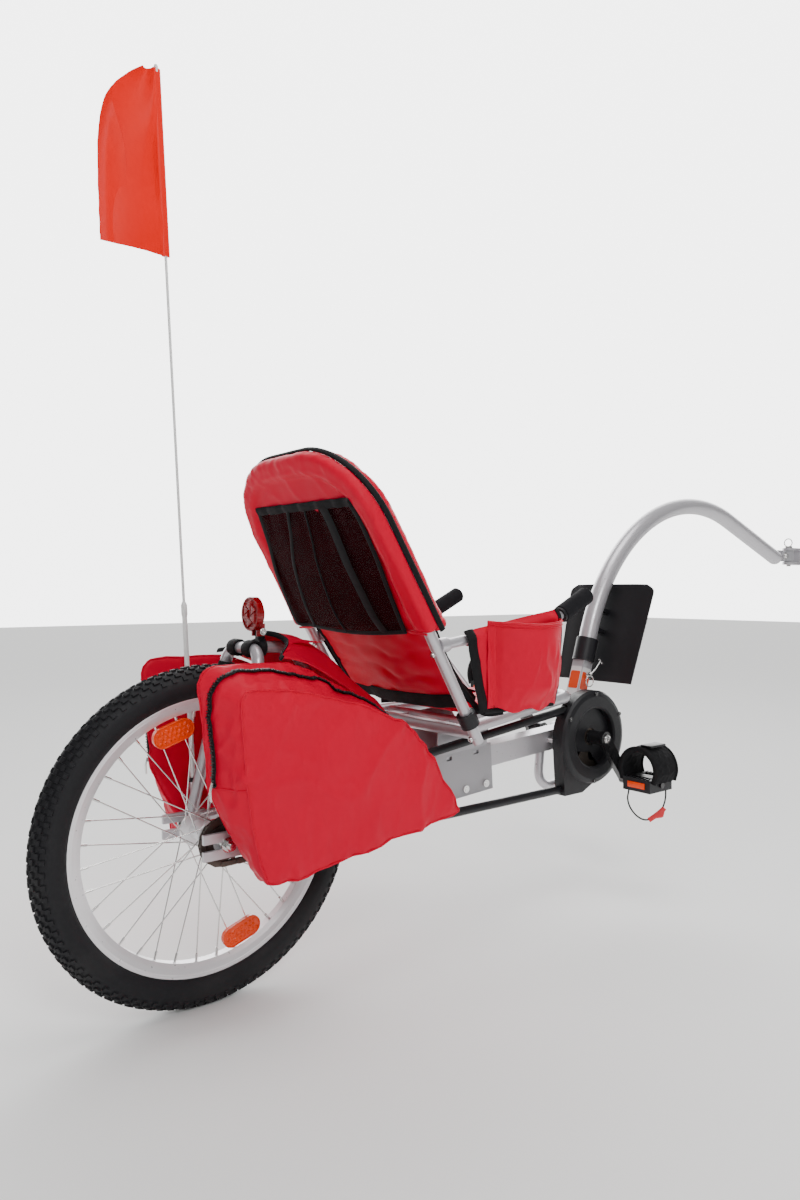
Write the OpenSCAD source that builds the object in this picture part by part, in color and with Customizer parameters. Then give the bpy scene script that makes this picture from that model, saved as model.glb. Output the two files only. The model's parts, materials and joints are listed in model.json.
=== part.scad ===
// Single-wheel child bicycle trailer: recumbent seat, pedals, panniers, flag and a curved tow arm.
// X points forward to the towing bicycle, Y to the left, Z up. The origin is the centre of the seat
// post clamp. The parts are laid out from the ground under the rear axle, and placed() moves them.

/* [Layout] */
// Distance from the rear axle to the seat post
wheel_to_post = 1838; // [1780:1:1900]
// Height of the seat post clamp above the ground
clamp_h = 720; // [700:1:740]
// Recline of the seat back from upright, in degrees
recline = 30; // [28:1:34]

/* [Rear wheel] */
// Outer radius of the tyre
tyre_r = 255; // [250:1:256]
// Radius of the tyre's round section
tyre_section_r = 26; // [24:0.5:27]
// Number of spokes
spokes_n = 36; // [28:4:36]
// Half width between the dropouts
dropout_y = 68; // [66:1:70]

/* [Drive] */
// Distance from the rear axle to the crank axle
crank_x = 829; // [815:1:840]
// Height of the crank axle
crank_z = 321; // [316:1:326]
// Teeth on the chainring
ring_teeth = 34; // [32:1:36]
// Teeth on the freewheel
free_teeth = 16; // [15:1:18]
// Crank length from axle to axle
crank_len = 110; // [102:1:114]
// Angle of the right crank below level
crank_drop = 53; // [40:1:60]
// Distance of the chain line from the middle
chain_y = 55; // [54:0.5:56]
// Outer radius of the chain case
case_r = 96; // [92:1:98]

/* [Frame] */
// Height of the rectangular boom
boom_h = 40; // [36:1:44]
// Width of the rectangular boom
boom_w = 38; // [34:1:38]
// Outer radius of the tow arm
arm_r = 19; // [17:0.5:20]
// Radius of the tow arm's big bend
arm_bend_r = 425; // [400:5:440]
// Half width between the seat back uprights
upright_y = 175; // [170:1:178]

/* [Soft goods] */
// Distance of the pannier's inner face from the middle
pannier_y = 97; // [96:1:100]
// Depth of one pannier
pannier_w = 62; // [50:1:70]

/* [Hitch] */
// Radius of the seat post
post_r = 13.6; // [12.7:0.1:15.9]

/* [Hidden] */
$fn = 64;

gap = 0.3;              // free gap between pieces that must not touch
run = 0.05;             // radial clearance of a running fit
seam = 1;               // how far a bar's straights run into its bends
pitch = 12.7;           // chain pitch
boom_slope = atan((crank_z - 265) / crank_x);
ring_r = pitch / (2 * sin(180 / ring_teeth));
free_r = pitch / (2 * sin(180 / free_teeth));
tube_r = 8;             // outer radius of the two chain tubes
seat_x = 507;           // middle of the seat carriage along the boom
foot = [402, 373];      // lower end of an upright, along X and Z
dir_arm = [0.3066, 0, 0.9518];
arm_start = [883, 0, 474];
arm_corner = [1038.5, 0, 957];
arm_end = [1694, 0, 713];
post_len = 145;         // length of the square post on the boom
hoop_x = 66;
hoop_z = 533;
pitch_pin = [1729, 0, 718];
yaw_x = 1772;
idler = [772, 241];
spoke_lead = 65;         // turn of a crossed spoke between hub and rim
pedal_y = 155;
pedal_t = 26;
// The strap cord's loop: distance along its span from the pedal's middle, and height.
cord_drop = [[-52, 0], [-54, -8], [-56, -17], [-54, -27], [-49, -37], [-41, -46], [-31, -54], [-19, -60],
    [-6, -63], [8, -62], [21, -57], [33, -49], [43, -39], [49, -28], [52, -15], [52, 0]];
cord_span = [0.576, 0.432];
cord_r = 1.7;

silver = [0.72, 0.72, 0.74];
black = [0.09, 0.09, 0.1];
red = [0.82, 0.05, 0.1];
orange = [1, 0.45, 0.05];

// ---------- helpers ----------

// Moves a piece from the ground under the axle to the clamp's frame.
module placed() { translate([-wheel_to_post, 0, -clamp_h]) children(); }

function unit(v) = v / norm(v);
function boom_z(x) = 265 + x * tan(boom_slope);

// A round bar from a to b.
module bar(a, b, r) {
    d = b - a;
    translate(a)
        rotate([0, acos(d[2] / norm(d)), atan2(d[1], d[0])])
            cylinder(h = norm(d), r = r);
}

// One bend of a bar at corner c, between directions d1 and d2.
module bend(c, d1, d2, bend_r, r) {
    angle = acos(d1 * d2);
    u = unit(d2 - (d2 * d1) * d1);
    n = cross(d1, u);
    o = c - d1 * bend_r * tan(angle / 2) + u * bend_r;
    multmatrix([[-u[0], d1[0], n[0], o[0]], [-u[1], d1[1], n[1], o[1]], [-u[2], d1[2], n[2], o[2]]])
        rotate_extrude(angle = angle) translate([bend_r, 0]) circle(r);
}

// A round bar through points, with the same bend radius at each inner point. The straights are a
// hair thinner than the bends and run a little way into them, so the pieces join cleanly.
module bent_bar(points, bend_r, r) {
    last = len(points) - 1;
    dirs = [for (i = [0:last - 1]) unit(points[i + 1] - points[i])];
    trims = [for (i = [0:last]) i == 0 || i == last ? 0
        : bend_r * tan(acos(dirs[i - 1] * dirs[i]) / 2) - seam];
    for (i = [0:last - 1])
        bar(points[i] + dirs[i] * trims[i], points[i + 1] - dirs[i] * trims[i + 1], r - seam / 10);
    for (i = [1:last - 1]) bend(points[i], dirs[i - 1], dirs[i], bend_r, r);
}

// Turns a shape drawn about Z so that its axis lies along -Y, with its base at y.
module facing_right(x, y, z) { translate([x, y, z]) rotate([90, 0, 0]) children(); }

// Stands a side outline, drawn in X and Z, between y1 and y2.
module side_plate(y1, y2) { translate([0, y2, 0]) rotate([90, 0, 0]) linear_extrude(y2 - y1) children(); }

// The same shape on both sides.
module both_sides() { children(); mirror([0, 1, 0]) children(); }

// Puts children on the boom's axis at x, turned to the boom's slope.
module on_boom(x) { translate([x, 0, boom_z(x)]) rotate([0, -boom_slope, 0]) children(); }

// The plane of the seat back: local Z runs up the back, local X points to the rider.
module on_back() { translate([foot[0], 0, foot[1]]) rotate([0, -recline, 0]) children(); }

function back_point(s, y, n) = [foot[0] - s * sin(recline) + n * cos(recline), y,
    foot[1] + s * cos(recline) + n * sin(recline)];

// ---------- frame ----------

// The rectangular boom with the crank bracket's shell welded through its front end.
module boom() color(silver) placed()
    difference() {
        union() {
            on_boom(0) translate([300, -boom_w / 2, -boom_h / 2]) cube([558, boom_w, boom_h]);
            facing_right(crank_x, 34, crank_z) cylinder(h = 68, r = 21);
        }
        facing_right(crank_x, 35, crank_z) cylinder(h = 70, r = 17);
    }

module bracket_bearings() color("dimgray") placed()
    for (y = [34, -24])
        facing_right(crank_x, y, crank_z)
            difference() {
                cylinder(h = 10, r = 17);
                translate([0, 0, -1]) cylinder(h = 12, r = 8.5 + run);
            }

module chain_stays() color(silver) placed()
    both_sides() bent_bar([[318, -22, 288], [268, -46, 281], [24, -71, 262]], 30, 9);

// Slotted dropout plates, with the flag pole's holder welded to the left one.
module dropouts() color(silver) placed() {
    both_sides()
        side_plate(-dropout_y - 6, -dropout_y)
            difference() {
                translate([-38, 236]) square([70, 38]);
                translate([-40, 249.8]) square([40, 10.4]);
                translate([0, 255]) circle(5.2);
            }
    on_pole() difference() {
        translate([0, 0, -6]) cylinder(h = 64, r = 6);
        cylinder(h = 80, r = 4.1);
    }
    translate([16, dropout_y + 5, 237]) cube([14, 12, 12]);
    on_pole() translate([-4, -6, -26]) cube([8, 8, 22]);
}

module rear_hoop() color(silver) placed()
    bent_bar([[10, -71, 268], [hoop_x, -50, hoop_z], [hoop_x, 50, hoop_z], [10, 71, 268]], 28, 9.5);

module top_tube() color(silver) placed()
    bent_bar([[hoop_x + 8.5, 0, hoop_z], [150, 0, hoop_z], [312, 0, 303]], 60, 9.5);

module ground_guard() color(silver) placed()
    bent_bar([[746, 0, 296], [738, 0, 218], [890, 0, 218], [853, 0, 306]], 34, 9.5);

module arm_post() color(silver) placed()
    difference() {
        multmatrix([[dir_arm[2], 0, dir_arm[0], 0], [0, 1, 0, 0], [-dir_arm[0], 0, dir_arm[2], 0]])
            translate(post_local()) cube([30, 30, post_len]);
        facing_right(pin_x(), 30, pin_z()) cylinder(h = 60, r = 4 + run);
    }
// Lower corner of the post in its own turned frame, and the middle of its cross pin.
function post_local() = [arm_start[0] * dir_arm[2] - arm_start[2] * dir_arm[0] - 15, -15,
    arm_start[0] * dir_arm[0] + arm_start[2] * dir_arm[2] - post_len];
function pin_x() = arm_start[0] - dir_arm[0] * 34;
function pin_z() = arm_start[2] - dir_arm[2] * 34;

module rear_axle() color("silver") placed()
    facing_right(0, 82, 255) cylinder(h = 172, r = 5);

module axle_nuts() color("gray") placed()
    both_sides()
        facing_right(0, -dropout_y - 6, 255)
            difference() {
                union() {
                    cylinder(h = 2, r = 11);
                    translate([0, 0, 2]) cylinder(h = 8, r = 8.6, $fn = 6);
                }
                translate([0, 0, -1]) cylinder(h = 12, r = 5.02);
            }

// ---------- chain drive ----------

// Side outline of the case: a disc round the chainring and a shoe round the idler below it.
module case_outline(inset) {
    translate([crank_x, crank_z]) circle(case_r - inset);
    case_shoe(inset);
}
module case_shoe(inset)
    polygon([[735 + inset, 300], [742 + inset, 212 + inset], [796 - inset, 212 + inset], [868 - inset, 244],
        [829, 290]]);

module case_inner() color(black) placed()
    difference() {
        union() {
            side_plate(-46.5, -44.5) case_outline(0);
            side_plate(-60, -46) difference() { case_outline(0); case_outline(2); }
        }
        facing_right(crank_x, 0, crank_z) cylinder(h = 90, r = 22);
        bar(chain_hi(650), chain_hi(770), tube_r + gap);
        bar(chain_lo(650), chain_lo(756), tube_r + gap);
    }

// The outer half, turned about the crank axle, with its own half of the shoe.
module case_outer() color(black) placed()
    difference() {
        union() {
            facing_right(crank_x, 0, crank_z) rotate_extrude()
                polygon([[18, 60], [18, 62], [60, 62], [60, 74], [64, 76.5], [84, 76.5], [92, 74], [case_r, 69],
                    [case_r, 60.2], [case_r - 2, 60.2], [case_r - 2, 68], [90, 72], [83, 74.5], [65, 74.5],
                    [62, 73], [62, 60]]);
            side_plate(-70, -60.2) difference() {
                case_shoe(0);
                translate([crank_x, crank_z]) circle(case_r - 1);
            }
        }
        side_plate(-68, -60) case_shoe(2);
        bar(chain_hi(650), chain_hi(770), tube_r + gap);
        bar(chain_lo(650), chain_lo(756), tube_r + gap);
    }

// Screws on the case's rim, two spacers that bolt the case to the boom, and the idler roller that
// carries the chain's lower run.
module case_fixings() color("lightgray") placed() {
    for (a = [28, 88, 150, 268, 325])
        facing_right(crank_x + 89 * cos(a), -74.8, crank_z + 89 * sin(a)) cylinder(h = 3, r = 3.5);
    for (x = [752, 792])
        facing_right(x, -boom_w / 2, boom_z(x)) cylinder(h = 44.5 - boom_w / 2, r = x < 760 ? 6 : 5);
    facing_right(idler[0], -46.5, idler[1]) {
        cylinder(h = 13.5, r = 4);
        translate([0, 0, 5.3]) cylinder(h = 6.4, r = 12);
    }
}

// Tangent angle of the upper run, and points on the chain's two straight runs.
hi_slope = atan((crank_z - 255) / crank_x) + asin((ring_r - free_r) / norm([crank_x, crank_z - 255]));
function chain_hi(x) = [x, -chain_y, 255 + free_r / cos(hi_slope) + x * tan(hi_slope)];
function chain_lo(x) = [x, -chain_y, 255 - free_r];
lo_bottom = chain_lo(0)[2];
run_up = [idler[0] + 6, lo_bottom];
to_ring = [crank_x, crank_z] - run_up;
lo_slope = atan2(to_ring[1], to_ring[0]) - asin(ring_r / norm(to_ring));

module chain_tube(a, b) {
    difference() {
        bar(a, b, tube_r);
        bar(a - unit(b - a), b + unit(b - a), tube_r - 1.5);
    }
}
module chain_tube_upper() color(black) placed() chain_tube(chain_hi(62), chain_hi(758));
module chain_tube_lower() color(black) placed() chain_tube(chain_lo(62), chain_lo(752));

// One straight run of chain plates between two points of the chain's plane.
module chain_run(a, b, y) {
    d = b - a;
    translate([a[0], y, a[1]]) rotate([0, -atan2(d[1], d[0]), 0])
        translate([0, -0.6, -4.2]) cube([norm(d), 1.2, 8.4]);
}
// A bent run of chain plates about centre c, from angle a0 through sweep.
module chain_bend(c, r, a0, sweep, y) {
    translate([c[0], y + 0.6, c[1]]) rotate([90, 0, 0])
        rotate([0, 0, a0]) rotate_extrude(angle = sweep) translate([r - 4.2, 0]) square([8.4, 1.2]);
}
// Chain plates on both sides of the teeth; the rollers between them are left out.
module chain() color("dimgray") placed()
    for (y = [-chain_y - 2.8, -chain_y + 2.8]) {
        hi_free = [-free_r * sin(hi_slope), 255 + free_r * cos(hi_slope)];
        hi_ring = [crank_x - ring_r * sin(hi_slope), crank_z + ring_r * cos(hi_slope)];
        lo_ring = [crank_x + ring_r * sin(lo_slope), crank_z - ring_r * cos(lo_slope)];
        chain_run(hi_free, hi_ring, y);
        chain_run([0, lo_bottom], run_up, y);
        chain_run(run_up, lo_ring, y);
        chain_bend([0, 255], free_r, 90 + hi_slope, 180 - hi_slope, y);
        chain_bend([crank_x, crank_z], ring_r, lo_slope - 90, 180 + hi_slope - lo_slope, y);
    }

// Flat toothed disc: radius at the roots, radius at the tips.
module toothed(n, root, tip) {
    polygon([for (i = [0:n - 1], k = [0:3])
        let (r = k == 1 || k == 2 ? tip : root, a = 360 * (i + [0.1, 0.38, 0.62, 0.9][k]) / n)
        [r * cos(a), r * sin(a)]]);
}

module freewheel() color("dimgray") placed()
    facing_right(0, -chain_y + 12, 255)
        difference() {
            union() {
                cylinder(h = 16, r = 25);
                translate([0, 0, 10.7]) linear_extrude(2.6) toothed(free_teeth, free_r - 3.6, free_r + 3);
            }
            translate([0, 0, -1]) cylinder(h = 20, r = 16 + run);
        }

module crank_spindle() color("silver") placed()
    facing_right(crank_x, 108, crank_z) cylinder(h = 216, r = 8.5);

module chainring() color("dimgray") placed()
    facing_right(crank_x, -chain_y + 4, crank_z)
        difference() {
            union() {
                cylinder(h = 8.5, r = 20);
                translate([0, 0, 2.7]) linear_extrude(2.6)
                    difference() {
                        toothed(ring_teeth, ring_r - 3.8, ring_r + 3);
                        for (a = [0:72:288]) rotate(a) translate([41, 0]) circle(12);
                    }
            }
            translate([0, 0, -1]) cylinder(h = 11, r = 8.52);
        }

// A crank arm with a pedal axle in its end, on the right of the frame before it is turned.
module crank() {
    end = [crank_len * cos(crank_drop), -crank_len * sin(crank_drop)];
    side = [sin(crank_drop), cos(crank_drop)];
    difference() {
        union() {
            side_plate(-104, -92) translate([crank_x, crank_z]) {
                circle(15);
                translate(end) circle(11);
                polygon([side * 14, side * -14, end - side * 10, end + side * 10]);
            }
            facing_right(crank_x, -64, crank_z) cylinder(h = 28, r = 14);
        }
        facing_right(crank_x, -60, crank_z) cylinder(h = 50, r = 8.52);
    }
    facing_right(crank_x + end[0], -104, crank_z + end[1]) cylinder(h = 87, r = 6);
}
module crank_right() color(black) placed() crank();
module crank_left() color(black) placed() on_left() crank();

// Carries a right-hand drive piece to the left side, half a turn round the crank axle.
module on_left() {
    translate([2 * crank_x, 0, 2 * crank_z]) mirror([1, 0, 0]) mirror([0, 1, 0]) mirror([0, 0, 1]) children();
}
pedal_x = crank_x + crank_len * cos(crank_drop);
pedal_z = crank_z - crank_len * sin(crank_drop);
left_x = 2 * crank_x - pedal_x;
left_z = 2 * crank_z - pedal_z;

// A platform pedal about its own axle, with two windows through it.
module pedal(x, y, z) {
    difference() {
        translate([x - 37, y - 32, z - pedal_t / 2]) cube([74, 64, pedal_t]);
        for (k = [-1, 1]) translate([x + 20 * k - 8, y - 24, z - 20]) cube([16, 48, 40]);
        facing_right(x, y + 60, z) cylinder(h = 120, r = 6 + run);
    }
}
module pedal_right() color(black) placed() pedal(pedal_x, -pedal_y, pedal_z);
module pedal_left() color(black) placed() pedal(left_x, pedal_y, left_z);

// A padded strap that arches over the foot, from one side of the pedal to the other.
module foot_strap(x, y, z) {
    translate([x - 34, y, z]) rotate([90, 0, 90]) linear_extrude(72)
        difference() {
            union() {
                translate([0, 30]) circle(45);
                translate([-45, 7.5]) square([90, 22.5]);
            }
            translate([0, 30]) circle(38);
            translate([-38, 13]) square([76, 17]);
            translate([-32, -20]) square([64, 34]);
            translate([-60, -40]) square([120, 47.5]);
        }
}
module foot_strap_right() color(black) placed() foot_strap(pedal_x, -pedal_y, pedal_z);
module foot_strap_left() color(black) placed() foot_strap(left_x, pedal_y, left_z);

// A thin cord that hangs in a loop below the pedal, from its rear inner edge to its front outer
// edge, swept along its own points. side is -1 on the right and 1 on the left.
function cord_point(i, x, y, z, side) = [x + cord_drop[i][0] * cord_span[0],
    y + side * cord_drop[i][0] * cord_span[1], z - pedal_t / 2 + cord_drop[i][1]];
function ring_point(p, t, r, a, side) =
    let (across = unit([cord_span[1], -side * cord_span[0], 0]), up = cross(across, t))
    p + r * (cos(a) * up + sin(a) * across);
module cord(x, y, z, side) {
    n = len(cord_drop);
    sides = 8;
    pts = [for (i = [0:n - 1]) cord_point(i, x, y, z, side)];
    tangents = [for (i = [0:n - 1]) unit(pts[min(i + 1, n - 1)] - pts[max(i - 1, 0)])];
    turn = [for (k = [0:sides - 1]) k];
    polyhedron(
        points = [for (i = [0:n - 1], k = turn) ring_point(pts[i], tangents[i], cord_r, 360 * k / sides, side)],
        faces = concat([[for (k = turn) sides - 1 - k]],
            [for (i = [0:n - 2], k = turn)
                let (a = i * sides + k, b = i * sides + (k + 1) % sides) [a, b, b + sides, a + sides]],
            [[for (k = turn) (n - 1) * sides + k]]));
}
module strap_cord_right() color(black) placed() cord(pedal_x, -pedal_y, pedal_z, -1);
module strap_cord_left() color(black) placed() cord(left_x, pedal_y, left_z, 1);

// The pull tag that hangs on the cord's lowest stretch.
module cord_tag(x, y, z, side) {
    p = cord_point(9, x, y, z, side);
    translate(p) rotate([0, 0, side * atan2(cord_span[1], cord_span[0])])
        translate([-8, -1, -cord_r - 12]) cube([16, 2, 12]);
}
module cord_tag_right() color("red") placed() cord_tag(pedal_x, -pedal_y, pedal_z, -1);
module cord_tag_left() color("red") placed() cord_tag(left_x, pedal_y, left_z, 1);

// ---------- rear wheel ----------

// Turns a radius and width profile round the rear axle.
module wheel_turned() { facing_right(0, 0, 255) rotate_extrude($fn = 96) children(); }

module tyre() color(black) placed()
    wheel_turned()
        translate([tyre_r - tyre_section_r, 0]) difference() {
            circle(tyre_section_r);
            circle(tyre_section_r - 3.5);
            translate([-40, -11]) square([40, 22]);
        }

module inner_tube() color([0.2, 0.2, 0.2]) placed()
    wheel_turned()
        translate([tyre_r - tyre_section_r, 0]) difference() {
            circle(tyre_section_r - 3.8);
            circle(tyre_section_r - 5.2);
            translate([-40, -1]) square([40, 2]);
        }

module rim() color("silver") placed()
    wheel_turned()
        polygon([[189, -7], [189, 7], [196, 11], [203, 14], [211, 14.5], [211, 12.6], [204.5, 10.8],
            [201, 8], [199.5, 0], [201, -8], [204.5, -10.8], [211, -12.6], [211, -14.5], [203, -14], [196, -11]]);

// One spoke of a crossed lacing, from the flange hole at angle a to the rim.
module spoke(a, lead, flange, offset) {
    hub_point = [21 * cos(a), flange + offset, 21 * sin(a)];
    rim_point = [190 * cos(a + lead), sign(flange) * 2, 190 * sin(a + lead)];
    translate([0, 0, 255]) bar(hub_point, rim_point, 1);
    translate([0, 0, 255]) bar(rim_point + unit(hub_point - rim_point) * 13, rim_point, 1.9);
}
module spokes() color("silver") placed() {
    sets = spokes_n / 4;
    for (i = [0:sets - 1], side = [0, 1]) {
        a = (i + side / 2) * 360 / sets;
        flange = side == 0 ? -28 : 33;
        spoke(a, spoke_lead, flange, 2.4 * sign(flange));
        spoke(a + 180 / sets, -spoke_lead, flange, -2.4 * sign(flange));
    }
}

module hub() color("silver") placed()
    facing_right(0, 0, 255)
        rotate_extrude() polygon([[5 + run, -44], [13, -44], [13, -37], [26, -35.5], [26, -30.5], [15, -27],
            [15, 22], [26, 25.5], [26, 30.5], [16, 32], [16, 61], [5 + run, 61]]);

module spoke_reflectors() color(orange) placed()
    for (a = [109, -71])
        translate([168 * cos(a), 0, 255 + 168 * sin(a)]) rotate([0, -a, 0])
            side_plate(-12, -4) {
                square([30, 34], center = true);
                for (k = [-1, 1]) translate([0, 17 * k]) circle(15);
            }

// ---------- luggage, reflector and flag ----------

module pannier() {
    side_plate(-pannier_y - pannier_w, -pannier_y)
        polygon([[-66, 500], [-48, 335], [36, 198], [60, 194], [408, 252], [404, 268], [280, 416], [200, 470],
            [130, 508], [85, 524], [-40, 526], [-58, 516]]);
}
module pannier_right() color(red) placed() pannier();
module pannier_left() color(red) placed() mirror([0, 1, 0]) pannier();

// The sheet that joins the two panniers over the top tube, with its two loops round the hoop.
module pannier_saddle() color(red) placed() {
    side_plate(-pannier_y + gap, pannier_y - gap)
        polygon([[104, 548], [150, 546], [206, 482], [209, 485], [152, 550], [104, 552]]);
    both_sides()
        facing_right(hoop_x, -10, hoop_z)
            difference() {
                cylinder(h = 14, r = 13);
                translate([0, 0, -1]) cylinder(h = 16, r = 9.6);
            }
}

tilt_pin = [94, 0, 558];
module reflector_bracket() color(black) placed()
    difference() {
        union() {
            translate([88, 0, hoop_z]) rotate([0, 90, 0]) cylinder(h = 12, r = 14);
            translate([88, -5, hoop_z]) cube([12, 10, tilt_pin[2] - hoop_z]);
            facing_right(tilt_pin[0], 5, tilt_pin[2]) cylinder(h = 10, r = 6);
        }
        translate([80, 0, hoop_z]) rotate([0, 90, 0]) cylinder(h = 30, r = 9.6);
        facing_right(tilt_pin[0], 20, tilt_pin[2]) cylinder(h = 40, r = 2.5 + run);
    }

// The red reflector, its two ears and the tilt bolt through them.
module rear_reflector() color([0.6, 0, 0.02]) placed() {
    translate([77, 0, 586]) rotate([0, 90, 0]) cylinder(h = 10, r = 27);
    for (y = [-9, 5.3]) translate([84, y, 551]) cube([14, 3.7, 20]);
    facing_right(tilt_pin[0], 11, tilt_pin[2]) cylinder(h = 22, r = 2.5);
}

lean = 3;               // backward lean of the flag pole, in degrees
pole = [24, 88, 262];   // foot of the flag pole
module on_pole() { translate(pole) rotate([0, -lean, 0]) children(); }

module flag_pole() color("white") placed() on_pole() {
    cylinder(h = 330, r = 4);
    translate([0, 0, 330]) cylinder(h = 844, r = 2.2);
}
module flag() color([0.95, 0.2, 0.05]) placed() on_pole()
    translate([-104, 0, 885]) rotate([90, 0, 0]) translate([0, 0, -7]) linear_extrude(14)
        polygon([[0, 6], [110, 0], [110, 284], [84, 286], [24, 234], [6, 160]]);

// ---------- tow arm and hitch ----------

module tow_arm() color(silver) placed()
    difference() {
        union() {
            bent_bar([arm_start, arm_corner, arm_end], arm_bend_r, arm_r);
            translate(arm_end) sphere(arm_r);
            side_plate(-8, 8) {
                translate([1696, 703]) square([33, 30]);
                translate([pitch_pin[0], pitch_pin[2]]) circle(15);
            }
        }
        facing_right(pitch_pin[0], 20, pitch_pin[2]) cylinder(h = 40, r = 5 + run);
    }

module arm_sleeve() color(black) placed()
    difference() {
        bar(arm_start - dir_arm * 4, arm_start + dir_arm * 46, 23);
        bar(arm_start, arm_start + dir_arm * 60, arm_r + 0.1);
        bar(arm_start - dir_arm * 10, arm_start + dir_arm * 10, 18);
        multmatrix([[dir_arm[2], 0, dir_arm[0], 0], [0, 1, 0, 0], [-dir_arm[0], 0, dir_arm[2], 0]])
            translate(post_local() - [4.2, 4.2, 0]) cube([38.4, 38.4, 128.6]);
    }

plate_foot = [916, 0, 426];
plate_lean = 16.5;
module splash_plate() color(black) placed()
    translate(plate_foot) rotate([0, plate_lean, 0]) {
        rotate([90, 0, 90]) linear_extrude(3) {
            polygon([[-98, 0], [98, 0], [112, 198], [-112, 198]]);
            polygon([[-92, 190], [92, 190], [92, 220], [-92, 220]]);
            for (k = [-1, 1]) translate([92 * k, 200]) circle(20);
        }
        for (tab = [[104, 30], [150, 25]]) translate([-tab[1], -8, tab[0]]) cube([tab[1] + 1, 16, 10]);
    }

// The cross pin of the arm's foot, with its pull ring on the right.
module arm_pin() color("silver") placed() {
    facing_right(pin_x(), 22, pin_z()) cylinder(h = 44, r = 4);
    facing_right(pin_x(), -22, pin_z()) cylinder(h = 4, r = 7);
    translate([pin_x(), -26, pin_z() - 12]) rotate([90, 0, 0]) rotate_extrude() translate([12, 0]) circle(1.4);
}

module hitch_yoke() color(silver) placed() {
    difference() {
        union() {
            for (y = [-13.3, 8.3]) side_plate(y, y + 5) {
                translate([pitch_pin[0], pitch_pin[2]]) circle(13);
                translate([pitch_pin[0], pitch_pin[2] - 13]) square([24, 26]);
            }
            translate([1747, -13.3, 705]) cube([16, 26.6, 26]);
            translate([yaw_x, 0, 703]) cylinder(h = 30, r = 13);
        }
        translate([yaw_x, 0, 690]) cylinder(h = 60, r = 6 + run);
    }
    facing_right(pitch_pin[0], 18, pitch_pin[2]) cylinder(h = 36, r = 5);
}

module hitch_clamp() color(silver) placed()
    difference() {
        union() {
            for (z = [695, 733.5]) translate([0, 0, z]) linear_extrude(7.5) {
                translate([yaw_x, 0]) circle(16);
                translate([yaw_x, -16]) square([wheel_to_post - yaw_x, 32]);
            }
            translate([wheel_to_post, 0, clamp_h - 25]) cylinder(h = 46, r = 27);
            translate([wheel_to_post + 18, -12, clamp_h - 20]) cube([30, 24, 36]);
        }
        translate([wheel_to_post, 0, clamp_h - 40]) cylinder(h = 80, r = post_r);
        translate([wheel_to_post, -1.5, clamp_h - 40]) cube([60, 3, 80]);
        translate([yaw_x, 0, 690]) cylinder(h = 60, r = 6 + run);
        for (z = [-10, 6])
            facing_right(wheel_to_post + 38, 20, clamp_h + z) cylinder(h = 40, r = 3.2);
    }

module hitch_pin() color("silver") placed() {
    translate([yaw_x, 0, 690]) cylinder(h = 52, r = 6);
    translate([yaw_x, 0, 741.2]) cylinder(h = 5, r = 10);
    translate([yaw_x - 1.5, 0, 756]) rotate([0, 90, 0]) rotate_extrude() translate([11, 0]) circle(1.5);
}

// ---------- seat ----------

module seat_carriage() color(silver) placed()
    on_boom(seat_x) difference() {
        union() {
            both_sides() side_plate(-boom_w / 2 - 4, -boom_w / 2 - 1) difference() {
                polygon([[-74, -38], [-40, -62], [76, -62], [76, 27], [-74, 27]]);
                for (x = [-38, 30]) translate([x, 12]) square([13, 7]);
            }
            translate([-74, -boom_w / 2 - 4, 24]) cube([150, boom_w + 8, 3]);
            both_sides() translate([-62, -boom_w / 2 - 2.5, 26]) rotate([26, 0, 0])
                rotate([90, 0, 0]) linear_extrude(3) polygon([[0, 0], [126, 0], [104, 80], [-20, 80]]);
        }
        for (x = bolt_xs) facing_right(x, 40, bolt_z) cylinder(h = 80, r = 4.1);
    }

// The two bolts that clamp the carriage under the boom.
bolt_xs = [4, 56];
bolt_z = -48;
module carriage_bolts() color("silver") placed()
    on_boom(seat_x) for (x = bolt_xs) {
        facing_right(x, boom_w / 2 + 9, bolt_z) cylinder(h = boom_w + 18, r = 4);
        both_sides() facing_right(x, -boom_w / 2 - 4, bolt_z) cylinder(h = 4.5, r = 7);
    }

rail_z = [388, 410];
cross_xs = [450, 540];
module seat_rails() color(silver) placed() {
    bent_bar([[395, -140, rail_z[0]], [768, -62, rail_z[1]], [768, 62, rail_z[1]], [395, 140, rail_z[0]]], 40, 11);
    bar([395, -168, rail_z[0]], [395, 168, rail_z[0]], 11);
    for (x = cross_xs)
        bar([x, -132 + (x - 395) * 0.21, rail_z[0] + (x - 395) * 0.059],
            [x, 132 - (x - 395) * 0.21, rail_z[0] + (x - 395) * 0.059], 8);
    both_sides() bar(back_point(0, -upright_y, 0), back_point(46, -upright_y, 0), 9.5);
}

module back_frame() color(silver) placed()
    bent_bar([back_point(46, -upright_y, 0), back_point(522, -upright_y, 0),
        back_point(522, upright_y, 0), back_point(46, upright_y, 0)], 125, 9.5);

module frame_collars() color(black) placed()
    both_sides() difference() {
        bar(back_point(34, -upright_y, 0), back_point(58, -upright_y, 0), 16);
        bar(back_point(20, -upright_y, 0), back_point(60, -upright_y, 0), 9.6);
    }

// Armrest tubes with their sockets on the uprights, and posts down to the seat rails.
arm_line = [[320, -upright_y, 535.2], [593, -upright_y, 573], [628, -upright_y, 590]];
module armrests() color(silver) placed()
    both_sides() {
        bent_bar(arm_line, 60, 8.5);
        bar([315.5, -upright_y, 534.6], [331, -upright_y, 536.8], 12);
        bent_bar([[588, -upright_y, 566], [598, -170, 520], [648, -100, 407]], 40, 7);
    }

module grips() color(black) placed()
    both_sides() bar([608, -upright_y, 580.3], [676, -upright_y, 613.4], 16);

// ---------- soft goods of the seat ----------

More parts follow.
